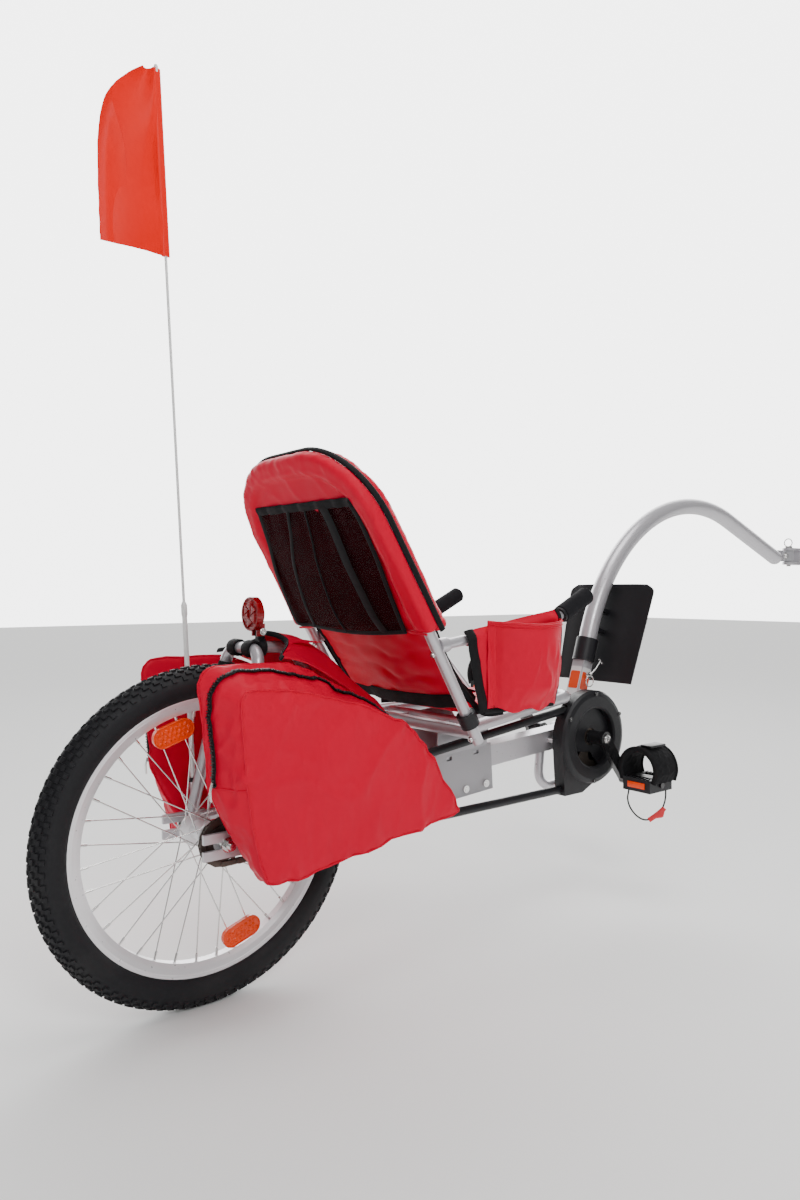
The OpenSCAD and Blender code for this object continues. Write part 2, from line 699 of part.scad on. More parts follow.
// The padded back between the uprights.
module back_cushion() color(red) placed()
    on_back() rotate([90, 0, 90]) translate([0, 0, -14]) linear_extrude(36) {
        translate([-164.5, 226]) square([329, 173.5]);
        translate([-52.5, 226]) square([105, 285.5]);
        for (k = [-1, 1]) translate([52.5 * k, 399.5]) circle(112);
    }

// The lower back panel and the seat's own pad.
module seat_sling() color(red) placed() {
    on_back() translate([-2, -158, 66]) cube([14, 316, 159]);
    translate([0, 0, 406]) linear_extrude(22)
        polygon([[424, -118], [690, -62], [724, -40], [724, 40], [690, 62], [424, 118]]);
}

module side_panels() color(red) placed()
    both_sides() side_plate(-upright_y - 16, -upright_y - 12)
        polygon([[356, 552], [600, 588], [584, 424], [416, 428]]);

// A cup holder sewn to the outside of a side panel: half a cylinder with a floor.
module cup_pockets() color(red) placed()
    both_sides() difference() {
        translate([512, -upright_y - 16.2, 430]) pocket_half(46, 142);
        translate([512, -upright_y - 19.2, 434]) pocket_half(41, 160);
    }
module pocket_half(r, h) {
    difference() {
        union() {
            for (k = [-1, 1]) translate([24 * k, 0, 0]) cylinder(h = h, r = r);
            translate([-24, -r, 0]) cube([48, r, h]);
        }
        translate([-90, 0, -1]) cube([180, 90, h + 2]);
    }
}

// ---------- nodes ----------

boom();
bracket_bearings();
chain_stays();
dropouts();
rear_hoop();
top_tube();
ground_guard();
arm_post();
rear_axle();
axle_nuts();
case_inner();
case_outer();
case_fixings();
chain_tube_upper();
chain_tube_lower();
chain();
pannier_right();
pannier_left();
pannier_saddle();
reflector_bracket();
rear_reflector();
flag_pole();
flag();
tow_arm();
arm_sleeve();
splash_plate();
arm_pin();
hitch_yoke();
hitch_clamp();
hitch_pin();
tyre();
inner_tube();
rim();
spokes();
hub();
spoke_reflectors();
freewheel();
crank_spindle();
chainring();
crank_right();
crank_left();
pedal_right();
pedal_left();
foot_strap_right();
foot_strap_left();
strap_cord_right();
strap_cord_left();
cord_tag_right();
cord_tag_left();
seat_carriage();
carriage_bolts();
seat_rails();
back_frame();
frame_collars();
armrests();
grips();
back_cushion();
seat_sling();
side_panels();
cup_pockets();
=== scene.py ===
"""Looks of a single-wheel child bicycle trailer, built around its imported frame.

Lengths in the sub-assembly classes are in millimetres, measured forward (x) and up (z) from the
ground under the rear axle, with y to the left. Layout.at() carries them to the row frame in metres.
"""

import json
import logging
import math
from dataclasses import dataclass, field
from enum import Enum
from typing import Callable, Optional, Sequence, Union

import bmesh
import bpy
from mathutils.bvhtree import BVHTree
from mathutils import Matrix, Vector, noise

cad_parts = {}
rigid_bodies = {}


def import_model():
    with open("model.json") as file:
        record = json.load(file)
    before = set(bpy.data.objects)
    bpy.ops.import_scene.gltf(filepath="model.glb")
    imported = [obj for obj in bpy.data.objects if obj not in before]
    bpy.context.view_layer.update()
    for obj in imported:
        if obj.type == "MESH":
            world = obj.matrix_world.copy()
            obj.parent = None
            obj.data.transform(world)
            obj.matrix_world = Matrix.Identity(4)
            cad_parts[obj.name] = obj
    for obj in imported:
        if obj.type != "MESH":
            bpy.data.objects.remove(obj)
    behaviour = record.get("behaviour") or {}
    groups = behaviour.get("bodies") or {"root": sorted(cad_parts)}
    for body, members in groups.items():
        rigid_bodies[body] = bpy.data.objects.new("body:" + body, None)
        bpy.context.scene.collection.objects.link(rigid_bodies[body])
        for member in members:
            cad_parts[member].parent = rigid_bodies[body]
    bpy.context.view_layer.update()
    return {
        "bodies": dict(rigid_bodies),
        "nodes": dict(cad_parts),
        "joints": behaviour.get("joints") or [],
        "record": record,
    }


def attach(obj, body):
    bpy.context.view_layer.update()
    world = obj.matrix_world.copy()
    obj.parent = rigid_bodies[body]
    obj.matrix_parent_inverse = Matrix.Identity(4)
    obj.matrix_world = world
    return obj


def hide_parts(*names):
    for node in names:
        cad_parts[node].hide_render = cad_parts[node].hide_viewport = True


log = logging.getLogger("trailer")
Point = Sequence[float]
Shape = bmesh.types.BMesh
Tree = bpy.types.ShaderNodeTree
Socket = bpy.types.NodeSocket
Level = Union[float, Socket]


class Side(Enum):
    """Right and left of the trailer, as the sign of y."""

    RIGHT = -1
    LEFT = 1


class Body(str, Enum):
    """Moving bodies of the frame."""

    FRAME = "frame"
    REFLECTOR = "reflector"
    ARM_PIN = "arm_pin"
    YOKE = "hitch_yoke"
    CLAMP = "hitch_clamp"
    PIN = "hitch_pin"
    WHEEL = "rear_wheel"
    FREEWHEEL = "freewheel"
    CRANKS = "crankset"
    PEDAL_RIGHT = "pedal_right"
    PEDAL_LEFT = "pedal_left"
    SEAT = "seat"


AHEAD, LEFT, UP = Vector((1, 0, 0)), Vector((0, 1, 0)), Vector((0, 0, 1))


def axes_matrix(x: Vector, y: Vector, z: Vector) -> Matrix:
    """Matrix that turns the world's axes to three others."""
    return Matrix((x, y, z)).transposed().to_4x4()


@dataclass(frozen=True)
class Layout:
    """Main stations of the trailer, in millimetres."""

    wheel_to_post: float = 1838.0
    clamp_height: float = 720.0
    recline: float = 30.0
    foot: tuple = (402.0, 373.0)
    crank: tuple = (829.0, 321.0)
    crank_length: float = 110.0
    crank_drop: float = 53.0
    axle_height: float = 255.0

    def at(self, x: float, y: float, z: float) -> Vector:
        """Row-frame point, in metres, of a place given in millimetres."""
        return Vector((x - self.wheel_to_post, y, z - self.clamp_height)) / 1000

    def back(self, s: float, y: float, n: float) -> Vector:
        """Point on the seat back.

        Args:
            s: distance up the back from its foot.
            y: distance to the left.
            n: distance in front of the uprights' plane.

        Returns:
            The row-frame point in metres.
        """
        a = math.radians(self.recline)
        return self.at(
            self.foot[0] - s * math.sin(a) + n * math.cos(a), y,
            self.foot[1] + s * math.cos(a) + n * math.sin(a)
        )

    def facing(self) -> Vector:
        """Unit vector that points out of the seat back's front."""
        a = math.radians(self.recline)
        return Vector((math.cos(a), 0, math.sin(a)))

    def rising(self) -> Vector:
        """Unit vector that points up along the seat back."""
        a = math.radians(self.recline)
        return Vector((-math.sin(a), 0, math.cos(a)))

    def back_frame(self) -> Matrix:
        """Matrix from (n, y, s) in metres to the row frame."""
        m = axes_matrix(self.facing(), LEFT, self.rising())
        m.translation = self.back(0, 0, 0)
        return m

    def pedal(self, side: Side) -> Vector:
        """Middle of a pedal's axle, in millimetres."""
        a = math.radians(self.crank_drop)
        reach = -side.value * self.crank_length
        return Vector((self.crank[0] + reach * math.cos(a), 155.0 * side.value,
                       self.crank[1] - reach * math.sin(a)))


PLAN = Layout()


# ---------------------------------------------------------------- shader node groups


def _group(name: str, inputs: Sequence[tuple], outputs: Sequence[tuple]) -> tuple:
    """New shader node group.

    Args:
        name: the group's name.
        inputs: (name, socket type, default) of each input.
        outputs: (name, socket type) of each output.

    Returns:
        The group, its input node and its output node.
    """
    tree = bpy.data.node_groups.new(name, "ShaderNodeTree")
    for label, kind, value in inputs:
        tree.interface.new_socket(name=label, in_out="INPUT", socket_type=kind).default_value = value
    for label, kind in outputs:
        tree.interface.new_socket(name=label, in_out="OUTPUT", socket_type=kind)
    return tree, tree.nodes.new("NodeGroupInput"), tree.nodes.new("NodeGroupOutput")


def _math(tree: Tree, kind: str, a: Level, b: Optional[Level] = None, clamp: bool = False) -> Socket:
    """Math node.

    Args:
        tree: where it goes.
        kind: its operation.
        a: first value, a socket or a number.
        b: second value.
        clamp: whether the result stays from 0 to 1.

    Returns:
        Its output socket.
    """
    node = tree.nodes.new("ShaderNodeMath")
    node.operation, node.use_clamp = kind, clamp
    for slot, value in ((0, a), (1, b)):
        if value is None:
            continue
        if isinstance(value, (int, float)):
            node.inputs[slot].default_value = value
        else:
            tree.links.new(value, node.inputs[slot])
    return node.outputs[0]


def _noise(
    tree: Tree, vector: Socket, scale: float, detail: float = 3.0, rough: float = 0.55,
    stretch: Optional[Point] = None
) -> Socket:
    """Noise texture.

    Args:
        tree: where it goes.
        vector: where the noise is read.
        scale: how fine it is.
        detail: how many finer layers it has.
        rough: how strong those are.
        stretch: scale of each axis.

    Returns:
        The noise's factor socket.
    """
    if stretch is not None:
        mapping = tree.nodes.new("ShaderNodeMapping")
        mapping.inputs["Scale"].default_value = stretch
        tree.links.new(vector, mapping.inputs["Vector"])
        vector = mapping.outputs[0]
    node = tree.nodes.new("ShaderNodeTexNoise")
    node.inputs["Scale"].default_value = scale
    node.inputs["Detail"].default_value = detail
    node.inputs["Roughness"].default_value = rough
    tree.links.new(vector, node.inputs["Vector"])
    return node.outputs["Fac"]


def weave_group() -> Tree:
    """Plain weave seen from three sides, as the height of its threads."""
    tree, source, sink = _group(
        "plain_weave",
        [("Threads", "NodeSocketFloat", 900.0), ("Depth", "NodeSocketFloat", 1.0)],
        [("Height", "NodeSocketFloat")],
    )
    place = tree.nodes.new("ShaderNodeTexCoord").outputs["Object"]
    split = tree.nodes.new("ShaderNodeSeparateXYZ")
    tree.links.new(place, split.inputs[0])
    waves = []
    for axis in range(3):
        turned = _math(tree, "MULTIPLY", split.outputs[axis], source.outputs["Threads"])
        waves.append(_math(tree, "ABSOLUTE", _math(tree, "SINE", turned)))
    mixed = _math(tree, "MULTIPLY", _math(tree, "ADD", _math(tree, "ADD", waves[0], waves[1]), waves[2]),
                  0.34)
    tree.links.new(_math(tree, "MULTIPLY", mixed, source.outputs["Depth"]), sink.inputs["Height"])
    return tree


def tone_group() -> Tree:
    """Slow and fine variation of a colour, with light dust in the hollows of the noise."""
    tree, source, sink = _group(
        "tone_variation",
        [
            ("Colour", "NodeSocketColor", (0.5, 0.5, 0.5, 1)),
            ("Spread", "NodeSocketFloat", 0.12),
            ("Dust", "NodeSocketFloat", 0.05),
            ("Size", "NodeSocketFloat", 9.0),
        ],
        [("Colour", "NodeSocketColor"), ("Fine", "NodeSocketFloat")],
    )
    place = tree.nodes.new("ShaderNodeTexCoord").outputs["Object"]
    slow = tree.nodes.new("ShaderNodeTexNoise")
    tree.links.new(place, slow.inputs["Vector"])
    tree.links.new(source.outputs["Size"], slow.inputs["Scale"])
    slow.inputs["Detail"].default_value = 4
    fine = _noise(tree, place, 160, 4)
    swing = _math(tree, "ADD", _math(tree, "MULTIPLY", slow.outputs["Fac"], 0.7),
                  _math(tree, "MULTIPLY", fine, 0.3))
    value = _math(
        tree, "ADD", 1.0, _math(tree, "MULTIPLY", _math(tree, "SUBTRACT", swing, 0.5),
                                source.outputs["Spread"])
    )
    bright = tree.nodes.new("ShaderNodeHueSaturation")
    tree.links.new(source.outputs["Colour"], bright.inputs["Color"])
    tree.links.new(value, bright.inputs["Value"])
    dusty = tree.nodes.new("ShaderNodeMix")
    dusty.data_type = "RGBA"
    dusty.inputs[7].default_value = (0.42, 0.38, 0.33, 1)
    tree.links.new(bright.outputs[0], dusty.inputs[6])
    patch = _math(tree, "MULTIPLY", _math(tree, "SUBTRACT", slow.outputs["Fac"], 0.52, clamp=True), 4.0,
                  clamp=True)
    tree.links.new(_math(tree, "MULTIPLY", patch, source.outputs["Dust"]), dusty.inputs[0])
    tree.links.new(dusty.outputs[2], sink.inputs["Colour"])
    tree.links.new(fine, sink.inputs["Fine"])
    return tree


def scuff_group() -> Tree:
    """Thin stretched scratches, as a mask from 0 to 1."""
    tree, source, sink = _group(
        "fine_scuffs", [("Amount", "NodeSocketFloat", 0.4)], [("Mask", "NodeSocketFloat")]
    )
    place = tree.nodes.new("ShaderNodeTexCoord").outputs["Object"]
    lines = _noise(tree, place, 60, 2, 0.5, (1.0, 5.0, 9.0))
    patches = _noise(tree, place, 14, 2)
    cut = _math(tree, "MULTIPLY", _math(tree, "SUBTRACT", lines, 0.63, clamp=True), 7.0, clamp=True)
    where = _math(tree, "MULTIPLY", _math(tree, "SUBTRACT", patches, 0.5, clamp=True), 5.0, clamp=True)
    mask = _math(tree, "MULTIPLY", _math(tree, "MULTIPLY", cut, where), source.outputs["Amount"])
    tree.links.new(mask, sink.inputs["Mask"])
    return tree


class Groups:
    """The shared node groups, each built once."""

    _made: dict = {}

    @classmethod
    def get(cls, name: str) -> Tree:
        """Node group of that name, built on first use."""
        makers = {"weave": weave_group, "tone": tone_group, "scuff": scuff_group}
        if name not in cls._made:
            cls._made[name] = makers[name]()
        return cls._made[name]


# ---------------------------------------------------------------- finishes


@dataclass(frozen=True)
class Finish:
    """A surface finish, made into one material.

    The grain is a fine noise in the bump, waves a slow one, weave a woven thread pattern.
    """

    name: str
    colour: tuple
    rough: float = 0.5
    metal: float = 0.0
    spread: float = 0.14
    dust: float = 0.03
    tone_size: float = 9.0
    rough_swing: float = 0.12
    grain: float = 0.0
    grain_scale: float = 700.0
    waves: float = 0.0
    wave_scale: float = 30.0
    weave: float = 0.0
    threads: float = 2600.0
    scuff: float = 0.0
    scuff_colour: tuple = (0.5, 0.5, 0.5)
    coat: float = 0.0
    specular: float = 0.5
    alpha: float = 1.0
    facets: float = 0.0
    facet_scale: float = 260.0
    bump_strength: float = 0.6
    bump_distance: float = 0.0008
    coat_rough: float = 0.2

    def make(self) -> bpy.types.Material:
        """Material of this finish, built once and shared."""
        name = f"{self.name}_look"
        known = bpy.data.materials.get(name)
        if known:
            return known
        mat = bpy.data.materials.new(name)
        mat.use_nodes = True
        tree = mat.node_tree
        shader = tree.nodes["Principled BSDF"]
        tone = tree.nodes.new("ShaderNodeGroup")
        tone.node_tree = Groups.get("tone")
        tone.inputs["Colour"].default_value = (*self.colour, 1)
        tone.inputs["Spread"].default_value = self.spread * 2
        tone.inputs["Dust"].default_value = self.dust
        tone.inputs["Size"].default_value = self.tone_size
        colour = tone.outputs["Colour"]
        place = tree.nodes.new("ShaderNodeTexCoord").outputs["Object"]
        height = None
        if self.scuff:
            scuff = tree.nodes.new("ShaderNodeGroup")
            scuff.node_tree = Groups.get("scuff")
            scuff.inputs["Amount"].default_value = self.scuff
            colour = self._mix(tree, colour, (*self.scuff_colour, 1), scuff.outputs["Mask"])
        if self.weave:
            weave = tree.nodes.new("ShaderNodeGroup")
            weave.node_tree = Groups.get("weave")
            weave.inputs["Threads"].default_value = self.threads
            weave.inputs["Depth"].default_value = self.weave
            height = weave.outputs["Height"]
        if self.grain:
            grain = _math(tree, "MULTIPLY", _noise(tree, place, self.grain_scale, 3), self.grain)
            height = grain if height is None else _math(tree, "ADD", height, grain)
        if self.waves:
            slow = _math(tree, "MULTIPLY", _noise(tree, place, self.wave_scale, 3, 0.5), self.waves * 12)
            height = slow if height is None else _math(tree, "ADD", height, slow)
        if self.facets:
            cells = tree.nodes.new("ShaderNodeTexVoronoi")
            cells.inputs["Scale"].default_value = self.facet_scale
            cells.inputs["Randomness"].default_value = 0.0
            tree.links.new(place, cells.inputs["Vector"])
            cut = _math(tree, "MULTIPLY", cells.outputs["Distance"], self.facets)
            height = cut if height is None else _math(tree, "ADD", height, cut)
        if height is not None:
            bump = tree.nodes.new("ShaderNodeBump")
            bump.inputs["Strength"].default_value = self.bump_strength
            bump.inputs["Distance"].default_value = self.bump_distance
            tree.links.new(height, bump.inputs["Height"])
            tree.links.new(bump.outputs[0], shader.inputs["Normal"])
        tree.links.new(colour, shader.inputs["Base Color"])
        swing = _math(tree, "MULTIPLY", _math(tree, "SUBTRACT", tone.outputs["Fine"], 0.5),
                      self.rough_swing * 2)
        tree.links.new(_math(tree, "ADD", self.rough, swing, clamp=True), shader.inputs["Roughness"])
        shader.inputs["Metallic"].default_value = self.metal
        shader.inputs["Coat Weight"].default_value = self.coat
        shader.inputs["Coat Roughness"].default_value = self.coat_rough
        shader.inputs["Specular IOR Level"].default_value = self.specular
        shader.inputs["Alpha"].default_value = self.alpha
        return mat

    @staticmethod
    def _mix(tree: Tree, a: Socket, b: tuple, factor: Socket) -> Socket:
        """Colour a turned towards b by a factor socket; returns the mixed colour's socket."""
        node = tree.nodes.new("ShaderNodeMix")
        node.data_type = "RGBA"
        node.inputs[7].default_value = b
        tree.links.new(a, node.inputs[6])
        tree.links.new(factor, node.inputs[0])
        return node.outputs[2]


RED_CLOTH = Finish(
    "red_coated_cloth", (0.62, 0.001, 0.030), rough=0.44, weave=0.10, waves=0.09, wave_scale=18,
    spread=0.10, dust=0.0, specular=0.10,
)
# Red cloth darkened as painted shade, for the floors at the bottom of the cup pockets.
RED_PAINTED_SHADE = Finish("red_painted_shade", (0.26, 0.002, 0.008), rough=0.6, weave=0.12, spread=0.16, specular=0.2,
                    dust=0.0)
BLACK_TAPE = Finish(
    "black_binding_tape", (0.006, 0.006, 0.007), rough=0.72, weave=0.5, threads=1500, spread=0.3,
    specular=0.2, dust=0.0,
)
NET = Finish(
    "black_net", (0.016, 0.003, 0.004), rough=0.8, weave=0.3, threads=1800, alpha=0.66, spread=0.4,
    specular=0.1, dust=0.0,
)
ZIP_BLACK = Finish("zip_teeth_black", (0.010, 0.010, 0.011), rough=0.38, grain=0.9, grain_scale=450)
SILVER_PAINT = Finish(
    "silver_paint", (0.52, 0.505, 0.53), rough=0.32, metal=0.55, grain=0.10, grain_scale=1400,
    spread=0.05, coat=0.15, scuff=0.06, scuff_colour=(0.33, 0.33, 0.34), dust=0.0,
)
GREY_SHEET = Finish(
    "grey_painted_sheet", (0.40, 0.395, 0.415), rough=0.45, metal=0.35, grain=0.14,
    grain_scale=1100, spread=0.06, scuff=0.08, scuff_colour=(0.28, 0.28, 0.29),
)
BRIGHT_STEEL = Finish(
    "bright_zinc", (0.72, 0.71, 0.70), rough=0.22, metal=1.0, grain=0.12, spread=0.12, scuff=0.4,
    scuff_colour=(0.35, 0.34, 0.33),
)
ALLOY = Finish(
    "satin_alloy", (0.84, 0.83, 0.85), rough=0.32, metal=0.5, grain=0.05, spread=0.04, dust=0.0,
)
OILED_STEEL = Finish(
    "oiled_chain_steel", (0.10, 0.082, 0.07), rough=0.42, metal=0.85, grain=0.5, spread=0.5,
    scuff=0.7, scuff_colour=(0.33, 0.27, 0.22), tone_size=40,
)
BLACK_PLASTIC = Finish(
    "moulded_black_plastic", (0.008, 0.008, 0.010), rough=0.42, grain=0.35, grain_scale=1500,
    spread=0.2, specular=0.34, scuff=0.12, scuff_colour=(0.05, 0.05, 0.055), dust=0.0,
)
BLACK_PAINT = Finish(
    "gloss_black_paint", (0.010, 0.010, 0.011), rough=0.22, grain=0.1, coat=0.4, spread=0.2,
    scuff=0.2, scuff_colour=(0.12, 0.12, 0.12),
)
TYRE_RUBBER = Finish(
    "tyre_rubber", (0.008, 0.008, 0.010), rough=0.62, grain=0.5, grain_scale=500, spread=0.3,
    dust=0.02, specular=0.3,
)
BUTYL = Finish("butyl_rubber", (0.02, 0.02, 0.02), rough=0.6, grain=0.2)
FOAM = Finish(
    "grip_foam", (0.009, 0.009, 0.011), rough=0.88, grain=0.8, grain_scale=900, spread=0.35,
    specular=0.2, dust=0.0,
)
STRAP_PAD = Finish(
    "padded_strap", (0.008, 0.008, 0.009), rough=0.85, grain=0.9, grain_scale=520, spread=0.4,
    specular=0.2, dust=0.0,
)
CORD_BLACK = Finish("braided_cord", (0.012, 0.012, 0.012), rough=0.7, weave=0.5, threads=3500)
TAG_RED = Finish("tag_red", (0.62, 0.012, 0.02), rough=0.55, weave=0.2)
FLAG_VINYL = Finish(
    "flag_vinyl", (0.82, 0.006, 0.0), rough=0.40, waves=0.16, wave_scale=24, spread=0.08, dust=0.0,
    specular=0.14,
)
POLE_WHITE = Finish("white_rod", (0.78, 0.78, 0.77), rough=0.3, grain=0.05, spread=0.05, coat=0.3)
REFLECTOR_RED = Finish(
    "red_prisms", (0.26, 0.0, 0.004), rough=0.14, facets=1.6, facet_scale=230, coat=0.3, spread=0.4,
    dust=0.0, specular=0.35,
)
REFLECTOR_ORANGE = Finish(
    "orange_prisms", (0.90, 0.062, 0.0), rough=0.16, specular=0.3, facets=1.4, facet_scale=240,
    coat=0.25, spread=0.25, dust=0.0,
)
LABEL_ORANGE = Finish("plain_orange_plate", (0.75, 0.06, 0.002), rough=0.4, spread=0.1, grain=0.1)
LABEL_WHITE = Finish("plain_white_plate", (0.7, 0.7, 0.7), rough=0.35, spread=0.05)


# ---------------------------------------------------------------- the workshop


def smooth_path(points: Sequence[Point], per: int = 6, closed: bool = False) -> list:
    """Points along a smooth curve through the given ones.

    Args:
        points: places the curve passes through.
        per: new points for each span.
        closed: whether the last point joins the first.

    Returns:
        Vectors along the curve.
    """
    pts = [Vector(p) for p in points]
    count = len(pts)
    out = []
    for i in range(count if closed else count - 1):
        quad = [pts[(i + k) % count] if closed else pts[min(max(i + k, 0), count - 1)]
                for k in (-1, 0, 1, 2)]
        for j in range(per):
            t = j / per
            out.append(
                0.5 * (2 * quad[1] + (quad[2] - quad[0]) * t
                       + (2 * quad[0] - 5 * quad[1] + 4 * quad[2] - quad[3]) * t * t
                       + (3 * quad[1] - quad[0] - 3 * quad[2] + quad[3]) * t**3)
            )
    if not closed:
        out.append(pts[-1])
    return out


def path_length(points: Sequence[Vector]) -> float:
    """Length of a line through the points."""
    return sum((b - a).length for a, b in zip(points, points[1:]))


def part_way(path: Sequence[Vector], share: float) -> Vector:
    """Point at a share, from 0 to 1, of the way along evenly counted points."""
    i = share * (len(path) - 1)
    k = min(int(i), len(path) - 2)
    return path[k].lerp(path[k + 1], i - k)


def ease(lo: float, hi: float, value: float) -> float:
    """0 below lo, 1 above hi, and a smooth turn between them."""
    t = min(max((value - lo) / (hi - lo), 0.0), 1.0)
    return t * t * (3 - 2 * t)


class Shop:
    """Makes pieces whose objects sit at the origin and ride on a body."""

    made: list = []

    @classmethod
    def add(cls, name: str, mesh: bpy.types.Mesh, finish: Finish, body: Body) -> bpy.types.Object:
        """New object of a finished mesh, with its finish and its body."""
        obj = bpy.data.objects.new(name, mesh)
        bpy.context.scene.collection.objects.link(obj)
        mesh.materials.clear()
        mesh.materials.append(finish.make())
        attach(obj, body.value)
        cls.made.append(name)
        log.info("%s: %d faces on %s", name, len(mesh.polygons), body.value)
        return obj

    @classmethod
    def piece(
        cls, name: str, bm: Shape, finish: Finish, body: Body, sharp: float = 38.0, turn: bool = True
    ) -> bpy.types.Object:
        """Object of a bmesh.

        Args:
            name: the piece's name.
            bm: its shape, which is used up.
            finish: its finish.
            body: the body it rides on.
            sharp: edges that turn by more than this many degrees stay crisp.
            turn: whether doubles are merged and faces turned outwards.

        Returns:
            The new object.
        """
        if turn:
            bmesh.ops.remove_doubles(bm, verts=bm.verts, dist=2e-6)
            bmesh.ops.recalc_face_normals(bm, faces=bm.faces)
        for face in bm.faces:
            face.smooth = True
        limit = math.radians(sharp)
        for edge in bm.edges:
            edge.smooth = len(edge.link_faces) != 2 or edge.calc_face_angle(0) < limit
        mesh = bpy.data.meshes.new(name)
        bm.to_mesh(mesh)
        bm.free()
        return cls.add(name, mesh, finish, body)

    @staticmethod
    def bake(obj: bpy.types.Object) -> None:
        """Applies an object's modifiers to its mesh."""
        graph = bpy.context.evaluated_depsgraph_get()
        mesh = bpy.data.meshes.new_from_object(obj.evaluated_get(graph))
        obj.modifiers.clear()
        obj.data = mesh

    @staticmethod
    def smooth_over(obj: bpy.types.Object, levels: int = 1) -> bpy.types.Object:
        """Adds a subdivision surface."""
        sub = obj.modifiers.new("subdivision", "SUBSURF")
        sub.levels = sub.render_levels = levels
        return obj

    @staticmethod
    def place_ring(bm: Shape, verts: list, centre: Vector, ahead: Vector, across: Vector) -> None:
        """Moves a ring drawn in XY about the origin to a path point."""
        side = (across - ahead * across.dot(ahead)).normalized()
        m = axes_matrix(side, ahead.cross(side), ahead)
        m.translation = centre
        bmesh.ops.transform(bm, matrix=m, verts=verts)

    @classmethod
    def swept(
        cls, path: Sequence[Vector], across: Vector, half_width: float, half_thick: float,
        closed: bool = False, sides: int = 8
    ) -> Shape:
        """A band or round bar swept along a path.

        Args:
            path: points in metres.
            across: direction of its width.
            half_width: half its width.
            half_thick: half its thickness.
            closed: whether the path is a loop.
            sides: corners of its section.

        Returns:
            The new bmesh.
        """
        bm = bmesh.new()
        count = len(path)
        rings = []
        for i, point in enumerate(path):
            before = path[(i - 1) % count] if closed or i else point
            after = path[(i + 1) % count] if closed or i < count - 1 else point
            ahead = (after - before).normalized()
            ring = bmesh.ops.create_circle(bm, cap_ends=False, segments=sides, radius=1.0)["verts"]
            bmesh.ops.scale(bm, vec=(half_width, half_thick, 1), verts=ring)
            cls.place_ring(bm, ring, point, ahead, across)
            rings.append(ring)
        pairs = list(zip(rings, rings[1:])) + ([(rings[-1], rings[0])] if closed else [])
        for a, b in pairs:
            both = set(a) | set(b)
            edges = [e for v in both for e in v.link_edges if e.other_vert(v) in both
                     and not e.link_faces[1:]]
            edges = [e for e in set(edges) if not ((e.verts[0] in a) ^ (e.verts[1] in a))]
            bmesh.ops.bridge_loops(bm, edges=edges)
        if not closed:
            for ring in (rings[0], rings[-1]):
                bmesh.ops.contextual_create(bm, geom=ring)
        return bm

    @classmethod
    def band(
        cls, name: str, path: Sequence[Vector], across: Vector, width: float, thick: float, finish: Finish,
        body: Body,
        closed: bool = False, sides: int = 8
    ) -> bpy.types.Object:
        """Swept band or bar as a piece.

        Args:
            name: the piece's name.
            path: points in metres.
            across: direction of its width.
            width: its whole width in millimetres.
            thick: its whole thickness in millimetres.
            finish: its finish.
            body: the body it rides on.
            closed: whether the path is a loop.
            sides: corners of its section.

        Returns:
            The new object.
        """
        bm = cls.swept(path, across, width / 2000, thick / 2000, closed, sides)
        return cls.piece(name, bm, finish, body, sharp=70)

    @classmethod
    def sheet(
        cls, name: str, shape: Callable, cells: tuple, thick: float, finish: Finish, body: Body
    ) -> bpy.types.Object:
        """Curved sheet of even thickness.

        Args:
            name: the piece's name.
            shape: gives the place, in metres, of (u, v), each from 0 to 1.
            cells: how many cells it has along u and v.
            thick: thickness in millimetres, or 0 for a bare skin.
            finish: its finish.
            body: the body it rides on.

        Returns:
            The new object.
        """
        bm = bmesh.new()
        bmesh.ops.create_grid(bm, x_segments=cells[0], y_segments=cells[1], size=0.5)
        for vert in bm.verts:
            vert.co = shape(vert.co.x + 0.5, vert.co.y + 0.5)
        bmesh.ops.remove_doubles(bm, verts=bm.verts, dist=2e-6)
        if thick:
            bmesh.ops.recalc_face_normals(bm, faces=bm.faces)
            bmesh.ops.solidify(bm, geom=bm.faces[:], thickness=thick / 1000)
        return cls.piece(name, bm, finish, body, sharp=60)

    @classmethod
    def turned(
        cls, name: str, profile: Sequence[Point], centre: Vector, axis: Vector, finish: Finish, body: Body,
        steps: int = 32, sharp: float = 38.0
    ) -> bpy.types.Object:
        """Solid of revolution.

        Args:
            name: the piece's name.
            profile: (radius, height along the axis) in millimetres, from axis to axis.
            centre: where the axis starts, in metres.
            axis: its direction.
            finish: its finish.
            body: the body it rides on.
            steps: facets round it.
            sharp: edges past this angle stay crisp.

        Returns:
            The new object.
        """
        bm = bmesh.new()
        verts = [bm.verts.new((r / 1000, 0, h / 1000)) for r, h in profile]
        edges = [bm.edges.new(pair) for pair in zip(verts, verts[1:])]
        bmesh.ops.spin(
            bm, geom=verts + edges, cent=(0, 0, 0), axis=(0, 0, 1), angle=math.tau, steps=steps,
            use_merge=True
        )
        m = axis.to_track_quat("Z", "Y").to_matrix().to_4x4()
        m.translation = centre
        bmesh.ops.transform(bm, matrix=m, verts=bm.verts)
        return cls.piece(name, bm, finish, body, sharp)

